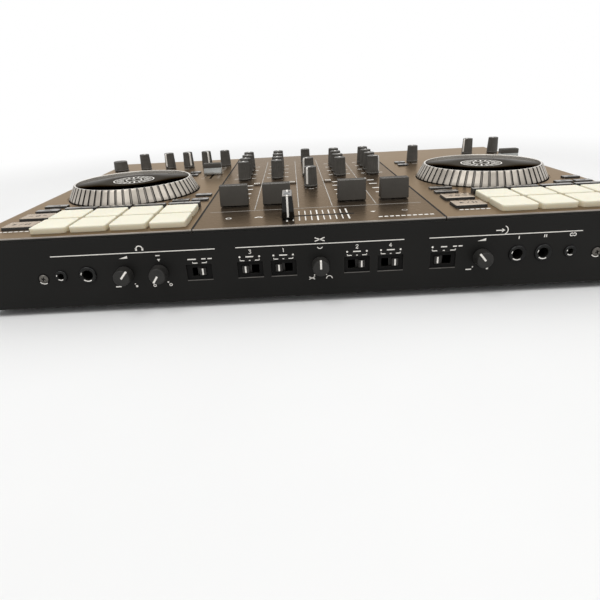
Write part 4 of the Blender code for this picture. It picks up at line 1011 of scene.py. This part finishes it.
def addLineSocket(pile, finish, place):
    r, out = rearSet["radius"], rearSet["proud"]
    shell = [(r + 0.08, 0.9), (r + 0.08, out - 0.35), (r - 0.2, out), (r - 0.55, out), (r - 0.75, out - 0.3),
             (r - 0.75, 0.9)]
    core = [(r - 0.7, 1), (r - 0.7, out - 0.45), (2.2, out - 0.45), (1.75, out - 0.7), (1.75, 1)]
    collar = [(5.6, -0.1), (5.6, 0.7), (5.2, 1.08), (r + 0.05, 1.08), (r + 0.05, -0.1)]
    pile += [(latheShape(shell, 40), 3, place), (latheShape(core, 32), finish, place),
             (latheShape(collar, 40), finish, place)]


frontJacks = []
for kind, places in jackSet["frontX"].items():
    for x in places:
        addJack(frontJacks, kind, onFront(x, jackSet["drop"]))
fixPiece("frontJacks", frontJacks, [socketBlack, socketNickel, darkGap], "black_casing")

rearSockets = []
for x in rearSet["jacks"]:
    addJack(rearSockets, "large", onRear(x, rearSet["z"]))
for i, x in enumerate(rearSet["lines"]):
    addLineSocket(rearSockets, 4 if i % 2 else 5, onRear(x, rearSet["z"]))
place = onRear(rearSet["inletX"], rearSet["z"])
inlet = [(5.6, -0.1), (5.6, 0.35), (5.3, 0.6), (3.6, 0.6), (3.25, 0.3), (3.25, -0.1)]
inletPin = [(0, -9), (1.05, -9), (1.05, -1.2), (0.7, -0.8), (0, -0.7)]
rearSockets += [(latheShape(inlet, 40), 0, place), (latheShape(inletPin, 20), 1, place)]
rearFinishes = [socketBlack, socketNickel, darkGap, socketGold, socketRed, socketWhite]
fixPiece("rearSockets", rearSockets, rearFinishes, "black_casing")

place = onRear(rearSet["dataX"], rearSet["z"])
shell = carve(stackShape(13.2, 12, 0.6, [(-0.1, 0), (0.35, 0), (0.5, 0.15)], 3),
              [boxShape(12, 10.8, 0.4, -1, 2)])
tongue = stackShape(5.6, 3.4, 0.3, [(-12.5, 0), (-1.6, 0), (-1.2, 0.3)], 3)
contact = boxShape(0.9, 0.25, 0.08, -10, -2.2)
dataSocket = [(shell, 0, place), (tongue, 1, place)]
dataSocket += [(contact, 2, place @ shift(x, y, 0)) for x in (-1.3, 1.3) for y in (-1.75, 1.75)]
fixPiece("dataSocket", dataSocket, [socketNickel, socketBlack, socketGold], "black_casing")

# screws and feet
# ring: a near-black ring round each front screw, painted shade of its countersink; glint: a nickel arc at its
# lower edge, painted highlight
screwSet = {
    "large": (2.75, 0.75), "small": (2.4, 0.6), "turn": 20, "ring": (3.65, 2.8, 0.06),
    "glint": (3.2, 0.5, 215, 300, 0.12), "frontX": 171, "frontDrop": 26.5, "sideY": (-120, 0, 120),
    "sideZ": 38, "sideSunk": 0.62, "rearX": (-196, -30, 196), "rearZ": 40, "baseX": (-150, 0, 150),
    "baseY": (-110, 112), "baseZ": 5}


def screwShape(kind, finish):
    head, high = screwSet[kind]
    profile = [(0, -0.4), (head * 0.92, -0.4), (head, -0.2), (head, high * 0.35), (head * 0.9, high * 0.72),
               (head * 0.62, high * 0.95), (0, high)]
    levels = [(high - 0.62, 0.12), (high + 0.3, 0)]
    arms = [stackShape(head * wide, head * deep, 0.1, levels, 2) for wide, deep in ((1.05, 0.3), (0.3, 1.05))]
    cut = carve(latheShape(profile, 40), arms)
    for face in cut.faces:  # painted shade inside the cross
        middle = face.calc_center_median()
        within = math.hypot(middle.x, middle.y) < head * 0.56
        inside = within and (middle.z < high * 0.9 or abs(face.normal.z) < 0.9)
        face.material_index = 2 if inside else finish
    return cut


largeScrew = screwShape("large", 0)
smallScrew = screwShape("small", 1)
screws = []
for side in sides:
    spot = onFront(side * screwSet["frontX"], screwSet["frontDrop"])
    screws += [(largeScrew, 0, spot @ spin(side * screwSet["turn"])),
               (ringShape(*screwSet["ring"]), 2, spot), (arcShape(*screwSet["glint"]), 3, spot)]
    for y in screwSet["sideY"]:
        screws.append((smallScrew, 0, onSide(side, y, screwSet["sideZ"], -screwSet["sideSunk"])))
screws += [(smallScrew, 0, onRear(x, screwSet["rearZ"])) for x in screwSet["rearX"]]
for x in screwSet["baseX"]:
    screws += [(smallScrew, 0, underneath(x, y, screwSet["baseZ"])) for y in screwSet["baseY"]]
fixPiece("screws", screws, [screwSteel, socketBlack, darkGap, socketNickel], "black_casing")

footSet = {"x": (-189, 189), "y": (-126.15, 128.05),
           "profile": [(0, 0), (3.6, 0), (4.2, 0.25), (4.8, 0), (8, 0), (8.7, 0.15), (9.1, 0.6),
                       (10.15, 4.2), (10.25, 5), (0, 5)]}
foot = latheShape(footSet["profile"])
feet = [(foot, 0, shift(x, y, 0)) for x in footSet["x"] for y in footSet["y"]]
fixPiece("feet", feet, [footRubber], "black_casing")
print("sockets, screws and feet built")


# floor, light and camera
floorSet = {"size": 8, "thick": 2, "pale": (0.87, 0.87, 0.865), "light": (0.91, 0.91, 0.905),
            "near": 0.42, "far": 0.95}
lightSet = {"world": 0.5, "shown": 1, "aim": 0.04}
lampSet = {"key": (-0.45, -0.55, 1.35, 9, 1.1), "fill": (0.8, -0.3, 1.2, 4.5, 1),
           "back": (0.1, 0.9, 1.3, 4.5, 1.2)}
cameraSet = {"spot": (-14, -276.4, 74.55), "pitch": 24.13, "yaw": -0.07, "roll": -2.83, "lens": 28.5,
             "sensor": 36, "clip": 0.01}
scene.view_settings.view_transform = "Standard"


def seenRays(tree):
    # 1 for what the camera, a mirror or glass sees, 0 for light that falls on the object
    rays = addNode(tree, "LightPath").outputs
    seen = rays["Is Camera Ray"]
    for kind in ("Is Glossy Ray", "Is Transmission Ray"):
        seen = addNode(tree, "Math", {0: seen, 1: rays[kind]}, operation="MAXIMUM").outputs["Value"]
    return seen


# the floor fades into the background, away from the object
floorPaper = makeFinish(
    "floorPaper", floorSet["pale"], floorSet["light"], (0.8, 0.95), (3, 200, 0.02), gleam=0.1)
tree = floorPaper.node_tree
place = addNode(tree, "TexCoord").outputs["Object"]
reach = addNode(tree, "VectorMath", {0: place}, operation="LENGTH").outputs["Value"]
away = addNode(tree, "MapRange", {"Value": reach, "From Min": floorSet["near"], "From Max": floorSet["far"]},
               interpolation_type="SMOOTHSTEP")
share = addNode(tree, "Math", {0: away.outputs["Result"], 1: seenRays(tree)}, operation="MULTIPLY")
paper = addNode(tree, "Emission").outputs["Emission"]
lit = tree.nodes["Principled BSDF"].outputs["BSDF"]
fade = addNode(tree, "MixShader", {"Fac": share.outputs["Value"], 1: lit, 2: paper})
feed(tree, tree.nodes["Material Output"], {"Surface": fade.outputs["Shader"]})
half = floorSet["size"] / mm / 2
corners = [(-half, -half), (half, -half), (half, half), (-half, half)]
floor = makePiece("floor", [(prismShape(corners, 0, -floorSet["thick"]), 0)], [floorPaper])

world = bpy.data.worlds.new("paleRoom")
scene.world = world
world.use_nodes = True
tree = world.node_tree
level = addNode(tree, "MapRange", {
    "Value": seenRays(tree), "To Min": lightSet["world"], "To Max": lightSet["shown"]})
feed(tree, tree.nodes["Background"], {"Color": (1, 1, 1, 1), "Strength": level.outputs["Result"]})
for name, (x, y, z, power, size) in lampSet.items():
    lamp = bpy.data.lights.new(name + "Light", "AREA")
    lamp.energy, lamp.size = power, size
    holder = addObject(name + "Light", lamp)
    holder.location = (x, y, z)
    holder.rotation_euler = Vector((-x, -y, lightSet["aim"] - z)).to_track_quat("-Z", "Y").to_euler()

lens = bpy.data.cameras.new("viewer")
lens.lens, lens.sensor_width, lens.clip_start = pick(cameraSet, "lens", "sensor", "clip")
viewer = addObject("viewer", lens)
x, back, high = cameraSet["spot"]
seat = shift(x * mm, (casing["frontY"] + back) * mm, (casing["topZ"] + high) * mm)
aim = spin(cameraSet["yaw"]) @ spin(90 - cameraSet["pitch"], "X") @ spin(cameraSet["roll"])
viewer.matrix_world = seat @ aim
scene.camera = viewer
print("stage, light and camera set")

bpy.context.view_layer.update()
